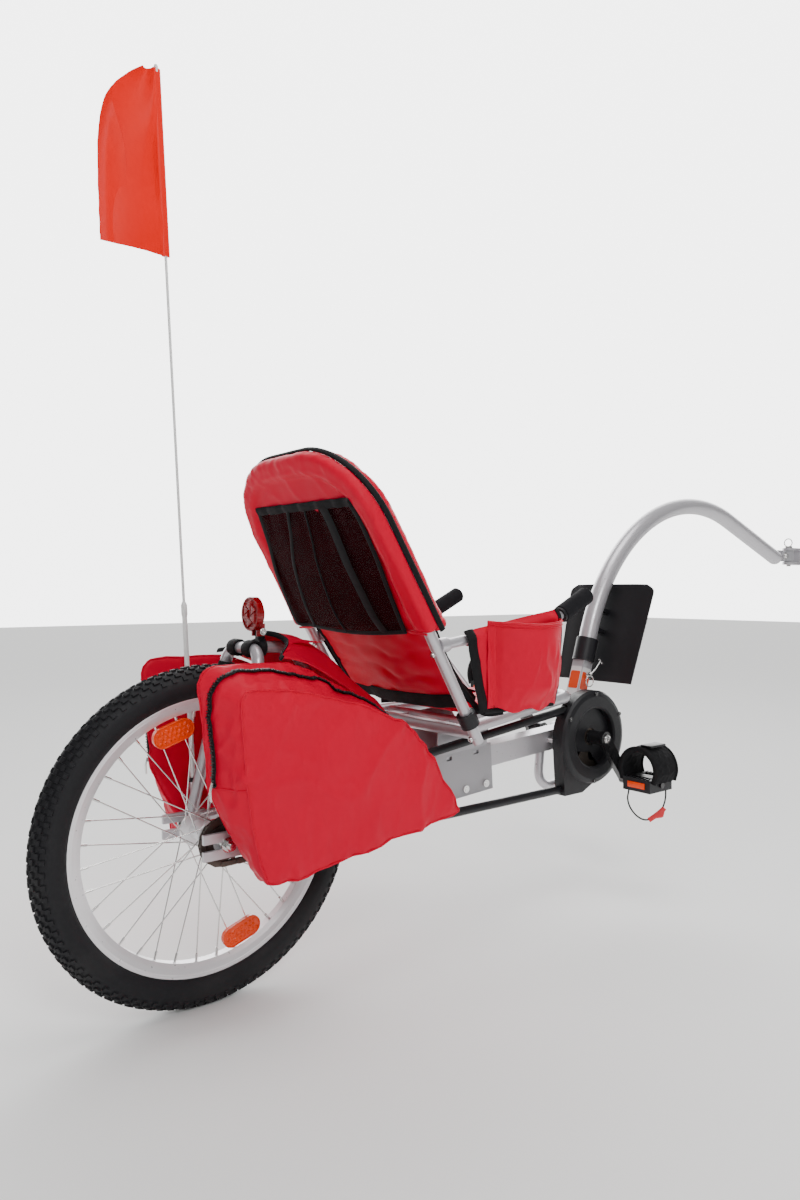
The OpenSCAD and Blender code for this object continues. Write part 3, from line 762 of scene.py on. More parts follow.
    @classmethod
    def bolt(
        cls, name: str, centre: Vector, axis: Vector, radius: float, body: Body,
        finish: Optional[Finish] = None, tall: float = 4.0, socket: bool = True
    ) -> bpy.types.Object:
        """Round-headed bolt with a washer.

        Args:
            name: the piece's name.
            centre: where the washer lies, in metres.
            axis: the way that the head points.
            radius: the head's radius in millimetres.
            body: the body it rides on.
            finish: its finish, bright zinc if none is given.
            tall: height of the head.
            socket: whether it has a hollow for a key.

        Returns:
            The new object.
        """
        r, h = radius, tall
        outline = [(0, -1.5), (r * 1.35, -1.5), (r * 1.35, 0), (r, 0), (r, h * 0.6), (r * 0.82, h),
                   (r * 0.5, h)]
        if socket:
            outline += [(r * 0.46, h * 0.25), (0, h * 0.25)]
        else:
            outline += [(0, h * 1.08)]
        return cls.turned(name, outline, centre, axis, finish or BRIGHT_STEEL, body, 18 if socket else 24)


class Softener:
    """Turns plain closed shapes into filled, creased fabric."""

    @staticmethod
    def even_cells(obj: bpy.types.Object, voxel: float) -> None:
        """Remakes a closed piece's mesh with cells of one size, in metres."""
        remesh = obj.modifiers.new("even_mesh", "REMESH")
        remesh.mode, remesh.voxel_size = "VOXEL", voxel
        Shop.bake(obj)

    @staticmethod
    def folds(co: Vector, size: float, depth: float, along: Point = (1, 1, 1), seed: float = 0.0) -> float:
        """Soft ridges.

        Args:
            co: the place.
            size: their spacing.
            depth: their height, in the unit that comes back.
            along: how fast they change along each axis.
            seed: sets them apart from other ridges.

        Returns:
            Height at the place.
        """
        p = (Vector((co.x * along[0], co.y * along[1], co.z * along[2])) / size
             + Vector((seed, seed * 0.7, -seed)))
        ridge = 1 - abs(noise.noise(p) * 2)
        return depth * (0.75 * ridge**3 + 0.5 * noise.noise(p * 2.3))

    @staticmethod
    def inflate(
        obj: bpy.types.Object, voxel: float, pressure: float, cap: float, pin: Optional[Callable] = None,
        frames: int = 18
    ) -> None:
        """Swells a closed shape as filled cloth, by simulation.

        Args:
            obj: the piece, whose mesh is remade.
            voxel: size of the new mesh's cells, in metres.
            pressure: pressure inside.
            cap: farthest that a point may move, in metres.
            pin: how firmly a place is held, from 0 to 1.
            frames: steps of the simulation.
        """
        Softener.even_cells(obj, voxel)
        mesh = obj.data
        rest = [v.co.copy() for v in mesh.vertices]
        held = [pin(p) if pin else 0.0 for p in rest]
        group = obj.vertex_groups.new(name="held")
        for i, weight in enumerate(held):
            if weight > 0:
                group.add([i], weight, "REPLACE")
        cloth = obj.modifiers.new("cloth", "CLOTH")
        cloth.settings.quality = 4
        cloth.settings.mass = 0.3
        cloth.settings.tension_stiffness = cloth.settings.compression_stiffness = 18
        cloth.settings.shear_stiffness = 8
        cloth.settings.bending_stiffness = 0.4
        cloth.settings.use_pressure = True
        cloth.settings.uniform_pressure_force = pressure
        cloth.settings.effector_weights.gravity = 0
        cloth.settings.vertex_group_mass = "held"
        cloth.point_cache.frame_start, cloth.point_cache.frame_end = 1, frames
        for frame in range(1, frames + 1):
            bpy.context.scene.frame_set(frame)
        graph = bpy.context.evaluated_depsgraph_get()
        shown = obj.evaluated_get(graph).to_mesh()
        moved = [v.co.copy() for v in shown.vertices]
        obj.evaluated_get(graph).to_mesh_clear()
        obj.modifiers.remove(cloth)
        bpy.context.scene.frame_set(1)
        obj.vertex_groups.clear()
        for v, a, b in zip(mesh.vertices, rest, moved):
            step = b - a
            v.co = a + step * min(1.0, cap / max(step.length, 1e-9))

    @staticmethod
    def crease(obj: bpy.types.Object, depth: Callable) -> None:
        """Moves each point along its normal by depth(place), in metres."""
        mesh = obj.data
        steps = [v.normal * depth(v.co) for v in mesh.vertices]
        for v, step in zip(mesh.vertices, steps):
            v.co += step

    @staticmethod
    def even_smooth(obj: bpy.types.Object) -> None:
        """Shades every face smooth."""
        for face in obj.data.polygons:
            face.use_smooth = True


def loft(near: Sequence[Vector], far: Sequence[Vector], round_by: float, segments: int = 3) -> Shape:
    """Closed body between two outlines of as many points.

    Args:
        near: the first outline, in metres.
        far: the other one.
        round_by: radius of its edges.
        segments: facets across an edge.

    Returns:
        The new bmesh.
    """
    bm = bmesh.new()
    first, last = [bm.verts.new(p) for p in near], [bm.verts.new(p) for p in far]
    bm.faces.new(first)
    bm.faces.new(last)
    for i, vert in enumerate(first):
        bm.faces.new((first[i - 1], vert, last[i], last[i - 1]))
    bmesh.ops.recalc_face_normals(bm, faces=bm.faces)
    bmesh.ops.bevel(
        bm, geom=bm.edges[:], offset=round_by, offset_type="OFFSET", segments=segments, profile=0.5,
        affect="EDGES", material=-1, clamp_overlap=True
    )
    return bm


def slab(outline: Sequence[Vector], depth: Vector, round_by: float, segments: int = 3) -> Shape:
    """Closed slab: an outline pushed through depth, with its rims rounded, all in metres."""
    return loft(outline, [p + depth for p in outline], round_by, segments)


def brick(size: Point, round_by: float, segments: int = 2) -> Shape:
    """Block about the origin with rounded edges, in metres."""
    bm = bmesh.new()
    verts = bmesh.ops.create_cube(bm, size=1.0)["verts"]
    bmesh.ops.scale(bm, vec=size, verts=verts)
    bmesh.ops.bevel(
        bm, geom=bm.edges[:], offset=round_by, offset_type="OFFSET", segments=segments, profile=0.5,
        affect="EDGES", material=-1
    )
    return bm


def seated(obj: bpy.types.Object, points: Sequence[Vector], lift: float) -> list:
    """Path laid on an object.

    Args:
        obj: the object.
        points: the path before it is laid.
        lift: how far it stands off the surface, in metres.

    Returns:
        The nearest places on the surface, lifted off it.
    """
    mesh = obj.data
    tree = BVHTree.FromPolygons([v.co for v in mesh.vertices], [f.vertices for f in mesh.polygons])
    found = [tree.find_nearest(p) for p in points]
    return [place + normal * lift for place, normal, _, _ in found]


# ---------------------------------------------------------------- wheel and drive


@dataclass
class Wheel:
    """Rear wheel: a tyre with block tread, its valve and the dressing of the turned parts."""

    section: float = 24.6
    section_centre: float = 229.0
    blocks: int = 92
    bead: tuple = (208.5, 9.0)
    valve_angle: float = 25.0
    valve_foot: float = 190.0
    brake_line: tuple = (207.5, 14.6)
    locknut_y: float = 62.0
    hub: Vector = field(default_factory=lambda: PLAN.at(0, 0, PLAN.axle_height))

    def ring(self, angle: float, radius: float, y: float) -> Vector:
        """Place on the wheel at an angle up from forward, in row-frame metres."""
        return self.hub + Vector((radius * math.cos(angle), y, radius * math.sin(angle))) / 1000

    def tread_block(self, bm: Shape, angle: float, lean: float, size: tuple) -> None:
        """Adds one chamfered block.

        Args:
            bm: bmesh that takes it.
            angle: its place round the wheel.
            lean: its place round the tyre's section, from the crown.
            size: length round the wheel, width and height, in millimetres.
        """
        made = bmesh.ops.create_cube(bm, size=1.0)["verts"]
        bmesh.ops.scale(bm, vec=Vector(size) / 1000, verts=made)
        for v in made:
            if v.co.z > 0:
                v.co.x *= 0.80
                v.co.y *= 0.84
        out = Vector((math.cos(angle) * math.cos(lean), math.sin(lean), math.sin(angle) * math.cos(lean)))
        ahead = Vector((-math.sin(angle), 0, math.cos(angle)))
        m = axes_matrix(ahead, out.cross(ahead), out)
        sunk = 1.2
        reach = self.section + size[2] / 2 - sunk
        m.translation = self.ring(angle, self.section_centre + reach * math.cos(lean),
                                  reach * math.sin(lean))
        bmesh.ops.transform(bm, matrix=m, verts=made)

    def tyre(self) -> None:
        """Tyre carcass with rows of tread blocks and a raised bead line."""
        bm = bmesh.new()
        profile = []
        for a in range(-152, 153, 8):
            rib = 0.7 if 96 < abs(a) < 106 else 0.0
            r, lean = self.section + rib, math.radians(a)
            profile.append((self.section_centre + r * math.cos(lean), r * math.sin(lean)))
        bead_r, bead_y = self.bead
        profile += [(bead_r, bead_y), (bead_r, -bead_y)]
        verts = [bm.verts.new(self.hub + Vector((r, y, 0)) / 1000) for r, y in profile]
        edges = [bm.edges.new(pair) for pair in zip(verts, verts[1:] + verts[:1])]
        bmesh.ops.spin(
            bm, geom=verts + edges, cent=self.hub, axis=(0, 1, 0), angle=math.tau, steps=120, use_merge=True
        )
        bmesh.ops.remove_doubles(bm, verts=bm.verts, dist=1e-5)
        bmesh.ops.recalc_face_normals(bm, faces=bm.faces)
        carcass = Shop.piece("tyre_carcass", bm, TYRE_RUBBER, Body.WHEEL, sharp=50)
        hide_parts("tyre")
        bm = bmesh.new()
        for i in range(self.blocks):
            a = math.tau * i / self.blocks
            half = math.tau / self.blocks / 2
            self.tread_block(bm, a, 0.0, (9.4, 7.0, 4.0))
            for side in (-1, 1):
                self.tread_block(bm, a + half, side * 0.36, (9.0, 6.6, 4.0))
                self.tread_block(bm, a, side * 0.68, (10.0, 6.2, 3.9))
                self.tread_block(bm, a + half, side * 0.98, (8.0, 7.6, 3.4))
        Shop.piece("tyre_tread", bm, TYRE_RUBBER, Body.WHEEL, sharp=20)

    def valve(self) -> None:
        """Valve stem with its cap, inward from the rim."""
        foot = self.ring(math.radians(self.valve_angle), self.valve_foot, 0)
        Shop.turned(
            "tyre_valve", [(0, -8), (4.1, -8), (4.1, 6), (3, 8), (3, 22), (3.9, 22.5), (3.9, 33), (2.6, 35),
                           (0, 35)],
            foot, (self.hub - foot).normalized(), BUTYL, Body.WHEEL, 20
        )

    def rim_lines(self) -> None:
        """Raised machined lines on both rim walls."""
        radius, y = self.brake_line
        for side in (-1, 1):
            path = [self.ring(math.tau * i / 120, radius, side * y) for i in range(120)]
            Shop.band(f"rim_brake_line_{'a' if side < 0 else 'b'}", path, LEFT, 1.2, 4.4, ALLOY,
                      Body.WHEEL, closed=True, sides=6)

    def build(self) -> None:
        """Builds the wheel's pieces."""
        self.tyre()
        self.valve()
        self.rim_lines()
        for side in (-1, 1):
            Shop.turned(
                f"axle_locknut_{'a' if side < 0 else 'b'}",
                [(5.2, 0), (9, 0), (9, 4), (7, 5.6), (5.2, 5.6)],
                PLAN.at(0, side * self.locknut_y, PLAN.axle_height), side * LEFT, BRIGHT_STEEL, Body.FRAME,
                18
            )


@dataclass
class Drive:
    """Chain, chain case trim, cranks and pedals."""

    pitch: float = 12.7
    ring_teeth: int = 34
    free_teeth: int = 16
    chain_y: float = -55.0
    idler: tuple = (778.0, 222.45)
    crank_bolt_y: float = 107.0
    axle_end_y: float = 89.0
    case_face_y: float = -77.2
    case_screws: tuple = (89.0, (28, 88, 150, 268, 325))
    cord_across: tuple = (0.576, 0.432)
    cord_radius: float = 0.0017
    cord_drop: tuple = (
        (-52, 0), (-54, -8), (-56, -17), (-54, -27), (-49, -37), (-41, -46), (-31, -54), (-19, -60),
        (-6, -63), (8, -62), (21, -57), (33, -49), (43, -39), (49, -28), (52, -15), (52, 0),
    )

    def line(self) -> list:
        """Points of the chain's closed line, in millimetres (x, z)."""
        (cx, cz), axle = PLAN.crank, PLAN.axle_height
        ring = self.pitch / 2 / math.sin(math.pi / self.ring_teeth)
        free = self.pitch / 2 / math.sin(math.pi / self.free_teeth)
        high = math.atan2(cz - axle, cx) + math.asin((ring - free) / math.hypot(cx, cz - axle))
        up = (cx - self.idler[0], cz - self.idler[1])
        low = math.atan2(up[1], up[0]) - math.asin(ring / math.hypot(*up))
        out = [(free * math.cos(a), axle + free * math.sin(a))
               for a in [math.radians(270) - i * (math.pi - high) / 24 for i in range(25)]]
        start, stop = math.pi / 2 + high, low - math.pi / 2
        out += [(cx + ring * math.cos(a), cz + ring * math.sin(a))
                for a in [start + i * (stop - start) / 30 for i in range(31)]]
        return out + [self.idler]

    def chain(self) -> None:
        """Roller chain: rollers and side plates set a pitch apart along the line."""
        line = [Vector((x, z)) for x, z in self.line()]
        line.append(line[0])
        total = path_length(line)
        count = 2 * round(total / self.pitch / 2)
        places, walked, want = [], 0.0, 0.0
        for a, b in zip(line, line[1:]):
            span = (b - a).length
            while want < walked + span and len(places) < count:
                places.append(a.lerp(b, (want - walked) / span))
                want += total / count
            walked += span
        bm = bmesh.new()
        for i, here in enumerate(places):
            there = places[(i + 1) % count]
            pin = bmesh.ops.create_cone(
                bm, cap_ends=True, segments=8, radius1=0.0038, radius2=0.0038, depth=0.0052)["verts"]
            bmesh.ops.rotate(bm, cent=(0, 0, 0), matrix=Matrix.Rotation(math.pi / 2, 3, "X"), verts=pin)
            bmesh.ops.translate(bm, vec=PLAN.at(here.x, self.chain_y, here.y), verts=pin)
            wide = 3.5 if i % 2 else 2.6
            mid, ahead = (here + there) / 2, (there - here).normalized()
            for side in (-1, 1):
                plate = bmesh.ops.create_cone(
                    bm, cap_ends=True, segments=10, radius1=0.0041, radius2=0.0041, depth=0.0009)["verts"]
                for v in plate:
                    v.co.x += math.copysign(self.pitch / 2000, v.co.x)
                m = axes_matrix(Vector((ahead.x, 0, ahead.y)), Vector((-ahead.y, 0, ahead.x)), -LEFT)
                m.translation = PLAN.at(mid.x, self.chain_y + side * wide, mid.y)
                bmesh.ops.transform(bm, matrix=m, verts=plate)
        chain = Shop.piece("roller_chain", bm, OILED_STEEL, Body.FRAME, sharp=30)
        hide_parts("chain")

    def trim(self) -> None:
        """Bolts and caps of the case and the cranks."""
        cx, cz = PLAN.crank
        for side in Side:
            tag, out = side.name.lower(), side.value * LEFT
            Shop.bolt(f"crank_bolt_{tag}", PLAN.at(cx, side.value * self.crank_bolt_y, cz), out, 7.0,
                      Body.CRANKS, tall=2.5)
            mid = PLAN.pedal(side)
            Shop.bolt(f"pedal_axle_end_{tag}", PLAN.at(mid.x, side.value * self.axle_end_y, mid.z), -out,
                      5.0,
                      Body.CRANKS, tall=2.0)
        reach, turns = self.case_screws
        for i, turn in enumerate(turns):
            a = math.radians(turn)
            place = PLAN.at(cx + reach * math.cos(a), self.case_face_y, cz + reach * math.sin(a))
            Shop.bolt(f"case_screw_{i}", place, -LEFT, 3.4, Body.FRAME, BLACK_PAINT, 1.6)
        for i, (x, z) in enumerate(((752, 316), (792, 318))):
            Shop.turned(
                f"case_standoff_{i}", [(0, 0), (6.5, 0), (6.5, 3), (5, 3.5), (5, 24), (6.5, 24.5),
                                       (6.5, 26), (0, 26)],
                PLAN.at(x, -18.5, z), -LEFT, SILVER_PAINT, Body.FRAME, 18
            )

    def pedal(self, side: Side) -> None:
        """One pedal's reflectors, strap, cord and tag."""
        body = Body.PEDAL_RIGHT if side is Side.RIGHT else Body.PEDAL_LEFT
        tag = side.name.lower()
        mid = PLAN.pedal(side)
        for end in (-1, 1):
            bm = brick((0.003, 0.040, 0.012), 0.001)
            bmesh.ops.translate(bm, vec=PLAN.at(mid.x + end * 38.0, mid.y, mid.z), verts=bm.verts)
            Shop.piece(f"pedal_reflector_{tag}_{'front' if end > 0 else 'rear'}", bm, REFLECTOR_ORANGE,
                       body)
        for k in (-1, 1):
            bm = bmesh.new()
            for i in range(7):
                verts = bmesh.ops.create_cube(bm, size=1.0)["verts"]
                bmesh.ops.scale(bm, vec=(0.008, 0.0025, 0.0024), verts=verts)
                bmesh.ops.translate(bm, vec=PLAN.at(mid.x + k * 32.5, mid.y - 24 + i * 8, mid.z + 14),
                                    verts=verts)
            Shop.piece(f"pedal_grip_ribs_{tag}_{'front' if k > 0 else 'rear'}", bm, BLACK_PLASTIC, body)
        self.strap(side, body, mid)
        self.cord(side, body, mid)

    def strap(self, side: Side, body: Body, mid: Vector) -> None:
        """Padded strap over the foot, quilted and bound along its edges."""
        tag = side.name.lower()
        arch = []
        for i in range(25):
            t = i / 24
            a = math.pi * min(max((t - 0.16) / 0.68, 0), 1)
            from_end = min(t, 1 - t)
            y = -41.5 * math.cos(a) * (0.88 + 0.12 * min(from_end / 0.12, 1))
            z = 7 + 22 * min(from_end / 0.16, 1)
            arch.append(PLAN.at(mid.x + 2, mid.y + y, mid.z + z + 42 * math.sin(a)))
        bm = Shop.swept(arch, AHEAD, 0.036, 0.0048, sides=16)
        pad = Shop.piece(f"foot_strap_pad_{tag}", bm, STRAP_PAD, body, sharp=80)
        Softener.even_cells(pad, 0.0022)
        Softener.crease(pad, lambda co: Softener.folds(co, 0.016, 0.0016, seed=3 + side.value))
        Softener.even_smooth(pad)
        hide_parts(f"foot_strap_{tag}")
        for k in (-1, 1):
            edge = [p + Vector((k * 0.0345, 0, 0)) for p in arch]
            Shop.band(f"foot_strap_edge_{tag}_{'front' if k > 0 else 'rear'}", edge, AHEAD, 5.5, 11.5,
                      BLACK_TAPE, body)
        buckle = arch[len(arch) // 2] + Vector((0, side.value * 0.012, 0.0062))
        bm = brick((0.05, 0.026, 0.005), 0.0018)
        bmesh.ops.translate(bm, vec=buckle, verts=bm.verts)
        Shop.piece(f"foot_strap_buckle_{tag}", bm, BLACK_PLASTIC, body)

    def cord(self, side: Side, body: Body, mid: Vector) -> None:
        """Thin cord looped below the pedal, with its folded tag."""
        tag = side.name.lower()
        forward, sideways = self.cord_across[0], side.value * self.cord_across[1]
        route = [PLAN.at(mid.x + forward * d, mid.y + sideways * d, mid.z - 13 + h) for d,
                 h in self.cord_drop]
        path = smooth_path(route, 4)
        bm = Shop.swept(path, Vector((0.6, -side.value * 0.8, 0)), self.cord_radius, self.cord_radius,
                        sides=8)
        line = Shop.piece(f"pull_cord_{tag}", bm, CORD_BLACK, body, sharp=80)
        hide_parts(f"strap_cord_{tag}", f"cord_tag_{tag}")
        low, along = route[10], Vector((0.8, side.value * 0.6, 0))
        flat = [low + along * -0.012 + Vector((0, 0, -0.007)), low + Vector((0, 0, 0.001)),
                low + along * 0.012 + Vector((0, 0, 0.011)), low + along * 0.020 + Vector((0, 0, 0.020))]
        bm = Shop.swept(smooth_path(flat, 4), along.cross(-LEFT), 0.0052, 0.0022, sides=12)
        for vert in bm.verts:
            gain = ease(0.0, 0.02, (vert.co - low).dot(along))
            vert.co.z -= 0.010 * gain * (1 if vert.co.z < low.z + 0.012 else 0.2)
        pull = Shop.piece(f"cord_pull_tag_{tag}", bm, TAG_RED, body, sharp=60)

    def build(self) -> None:
        """Builds the drive's pieces."""
        for side in Side:
            self.pedal(side)
        self.chain()
        self.trim()


# ---------------------------------------------------------------- luggage, flag and reflector


@dataclass
class Luggage:
    """The two panniers and the sheet that joins them over the top tube."""

    inner: float = 98.0
    outer: float = 156.0
    pairs: tuple = (
        ((-62, 494), (-22, 470)), ((-52, 420), (-20, 432)), ((-46, 345), (-12, 345)),
        ((-12, 278), (-1, 277)),
        ((38, 203), (18, 212)), ((62, 199), (101, 216)), ((230, 226), (237, 237)), ((400, 254), (380, 256)),
        ((398, 268), (374, 270)), ((335, 342), (312, 366)), ((276, 411), (276, 408)),
        ((198, 464), (205, 443)),
        ((128, 502), (102, 473)), ((84, 518), (40, 484)), ((-36, 520), (-6, 487)), ((-54, 512), (-16, 482)),
    )
    zip_line: tuple = (
        (-44, 352), (-48, 403), (-52, 454), (-49, 476), (-29, 495), (2, 503), (31, 502), (71, 494),
        (109, 481),
        (145, 466), (176, 452), (215, 438), (254, 420),
    )

    def bag(self, side: Side) -> None:
        """One pannier: a filled cloth body with seams, zip and zip pull.

        Args:
            side: the side it hangs on.
        """
        tag, y = side.name.lower(), side.value
        near = [PLAN.at(x, y * self.inner, z) for (x, z), _ in self.pairs]
        far = [PLAN.at(x, y * self.outer, z) for _, (x, z) in self.pairs]
        bag = Shop.piece(f"pannier_body_{tag}", loft(near, far, 0.0032, 2), RED_CLOTH, Body.FRAME, sharp=80)
        seam, inner = smooth_path(far, 6, closed=True), y * self.inner / 1000

        def held(p: Vector) -> float:
            """Firm on the wheel side and along the outer seam."""
            if abs(p.y - inner) < 0.008:
                return 1.0
            return 0.95 * (1 - ease(0.005, 0.013, min((p - q).length for q in seam[::2])))

        Softener.inflate(bag, 0.0048, 2.2, 0.011, held, 14)

        def depth(p: Vector) -> float:
            """Creases: long ones fanning from the corners, short ones along the seams."""
            if abs(p.y - inner) < 0.004:
                return 0.0
            near_seam = min((p - q).length for q in seam[::3])
            face = ease(0.140, 0.152, abs(p.y))
            soft = Softener.folds(p, 0.12, 0.0066, (1.0, 0.35, 0.75), 1.7 + y) * face
            fine = Softener.folds(p, 0.045, 0.0020, (1.5, 0.6, 0.6), 5.9 + y)
            short = Softener.folds(p, 0.026, 0.0018, (1.2, 0.6, 0.7),
                                   5.1) * (1 - ease(0.010, 0.055, near_seam))
            gusset = Softener.folds(p, 0.050, 0.0034, (0.8, 1.6, 1.1), 8.0) * (1 - face)
            groove = -0.0012 * (1 - ease(0.002, 0.007, near_seam))
            return (soft + fine + short + gusset) * ease(0.003, 0.02, near_seam) + groove

        Softener.crease(bag, depth)
        Softener.even_smooth(bag)
        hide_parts(f"pannier_{tag}")
        self.trim(side, bag, seam)
        Shop.smooth_over(bag)

    def trim(self, side: Side, bag: bpy.types.Object, seam: list) -> None:
        """Seam ridge, zip with its teeth and pull, and the cross and top seams of one pannier."""
        tag, y = side.name.lower(), side.value
        middle = PLAN.at(160, y * 128, 350)
        Shop.band(f"pannier_seam_{tag}", seated(bag, seam, 0.0005), LEFT, 3.4, 3.0, RED_CLOTH, Body.FRAME,
                  closed=True, sides=6)
        line = seated(bag, smooth_path([PLAN.at(x, y * 117, z) for x, z in self.zip_line], 6), 0.0012)
        Shop.band(f"pannier_zip_tape_{tag}", line, LEFT, 12, 3.2, BLACK_TAPE, Body.FRAME)
        bm = bmesh.new()
        step, walked, want = 0.0042, 0.0, 0.0
        for a, b in zip(line, line[1:]):
            span = (b - a).length
            while want < walked + span:
                verts = bmesh.ops.create_cube(bm, size=1.0)["verts"]
                bmesh.ops.scale(bm, vec=(0.0022, 0.0062, 0.0022), verts=verts)
                p = a.lerp(b, (want - walked) / span)
                out = Vector((p.x - middle.x, 0, p.z - middle.z)).normalized()
                m = axes_matrix(out.cross(LEFT), LEFT, out)
                m.translation = p + out * 0.0020 + LEFT * (0.0009 if round(want / step) % 2 else -0.0009)
                bmesh.ops.transform(bm, matrix=m, verts=verts)
                want += step
            walked += span
        Shop.piece(f"pannier_zip_teeth_{tag}", bm, ZIP_BLACK, Body.FRAME, turn=False)
        end = line[0]
        Shop.band(f"pannier_zip_pull_{tag}",
                  [end + Vector((-0.004, 0, 0.006)), end + Vector((-0.007, 0, -0.006)),
                                              end + Vector((-0.006, 0, -0.020))], LEFT, 6, 2.2,
                                              BRIGHT_STEEL,
                  Body.FRAME)
        low = [PLAN.at(x, y * v, 350) for x, v in ((-46, 99), (-38, 112), (-26, 132), (-13, 154))]
        Shop.band(f"pannier_cross_seam_{tag}", seated(bag, smooth_path(low, 4), 0.0004), UP, 2.6, 2.2,
                  RED_CLOTH, Body.FRAME, sides=6)
        rim = [PLAN.at(x, y * 99, z) for (x, z), _ in self.pairs[8:] + self.pairs[:4]]
        Shop.band(f"pannier_top_seam_{tag}", seated(bag, smooth_path(rim, 5), 0.0004), LEFT, 3.0, 3.0,
                  RED_CLOTH,
                  Body.FRAME, sides=6)

    def saddle(self) -> None:
        """Sheet over the top tube, cut back round the hoop, with its bound edge and loops."""
        ridge = smooth_path([(100, 0, 556), (152, 0, 549), (206, 0, 521), (250, 0, 482), (284, 0, 455),
                             (310, 0, 436)], 6)
        eave = smooth_path([(74, 0, 523), (110, 0, 514), (168, 0, 484), (220, 0, 450), (268, 0, 417),
                            (306, 0, 380)], 6)

        def shape(u: float, v: float) -> Vector:
            """Place on the sheet: u runs forward, v from the right eave to the left one."""
            top, low = part_way(ridge, u), part_way(eave, u)
            w = abs(v * 2 - 1)
            mix = ease(0.04, 1.0, w) * 0.75 + w * 0.25
            p = top.lerp(low, mix)
            side = 1 if v > 0.5 else -1
            cut = (1 - ease(0.0, 0.13, u)) * (1 - ease(0.0, 0.55, abs(w - 0.45))) * 26
            wave = Softener.folds(Vector((p.x, v * 160, p.z)) / 1000, 0.05, 2.2, seed=4)
            return PLAN.at(p.x + cut, side * w * 104, p.z + wave)

        sheet = Shop.sheet("pannier_saddle_sheet", shape, (40, 36), 1.4, RED_CLOTH, Body.FRAME)
        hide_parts("pannier_saddle")
        edge = [shape(0.0, i / 36) + Vector((-0.001, 0, 0)) for i in range(37)]
        Shop.band("pannier_saddle_binding", edge, Vector((0.6, 0, 0.8)), 9, 3.4, BLACK_TAPE, Body.FRAME)
        for side in Side:
            tag = side.name.lower()
            for name, (x, y, z), axis in (
                (f"hoop_loop_{tag}", (66, side.value * 24, 533), LEFT),
                (f"hoop_leg_loop_{tag}", (61, side.value * 53, 497),
                 Vector((-0.2, side.value * 0.08, -1)).normalized()),
            ):
                ring = [(9.7, -11), (12.6, -12), (13.6, -8), (13.6, 8), (12.6, 12), (9.7, 11), (9.7, -11)]
                Shop.turned(name, ring, PLAN.at(x, y, z), axis, BLACK_TAPE, Body.FRAME, 24, sharp=60)

    def build(self) -> None:
        """Builds both panniers and the saddle."""
        for side in Side:
            self.bag(side)
        self.saddle()


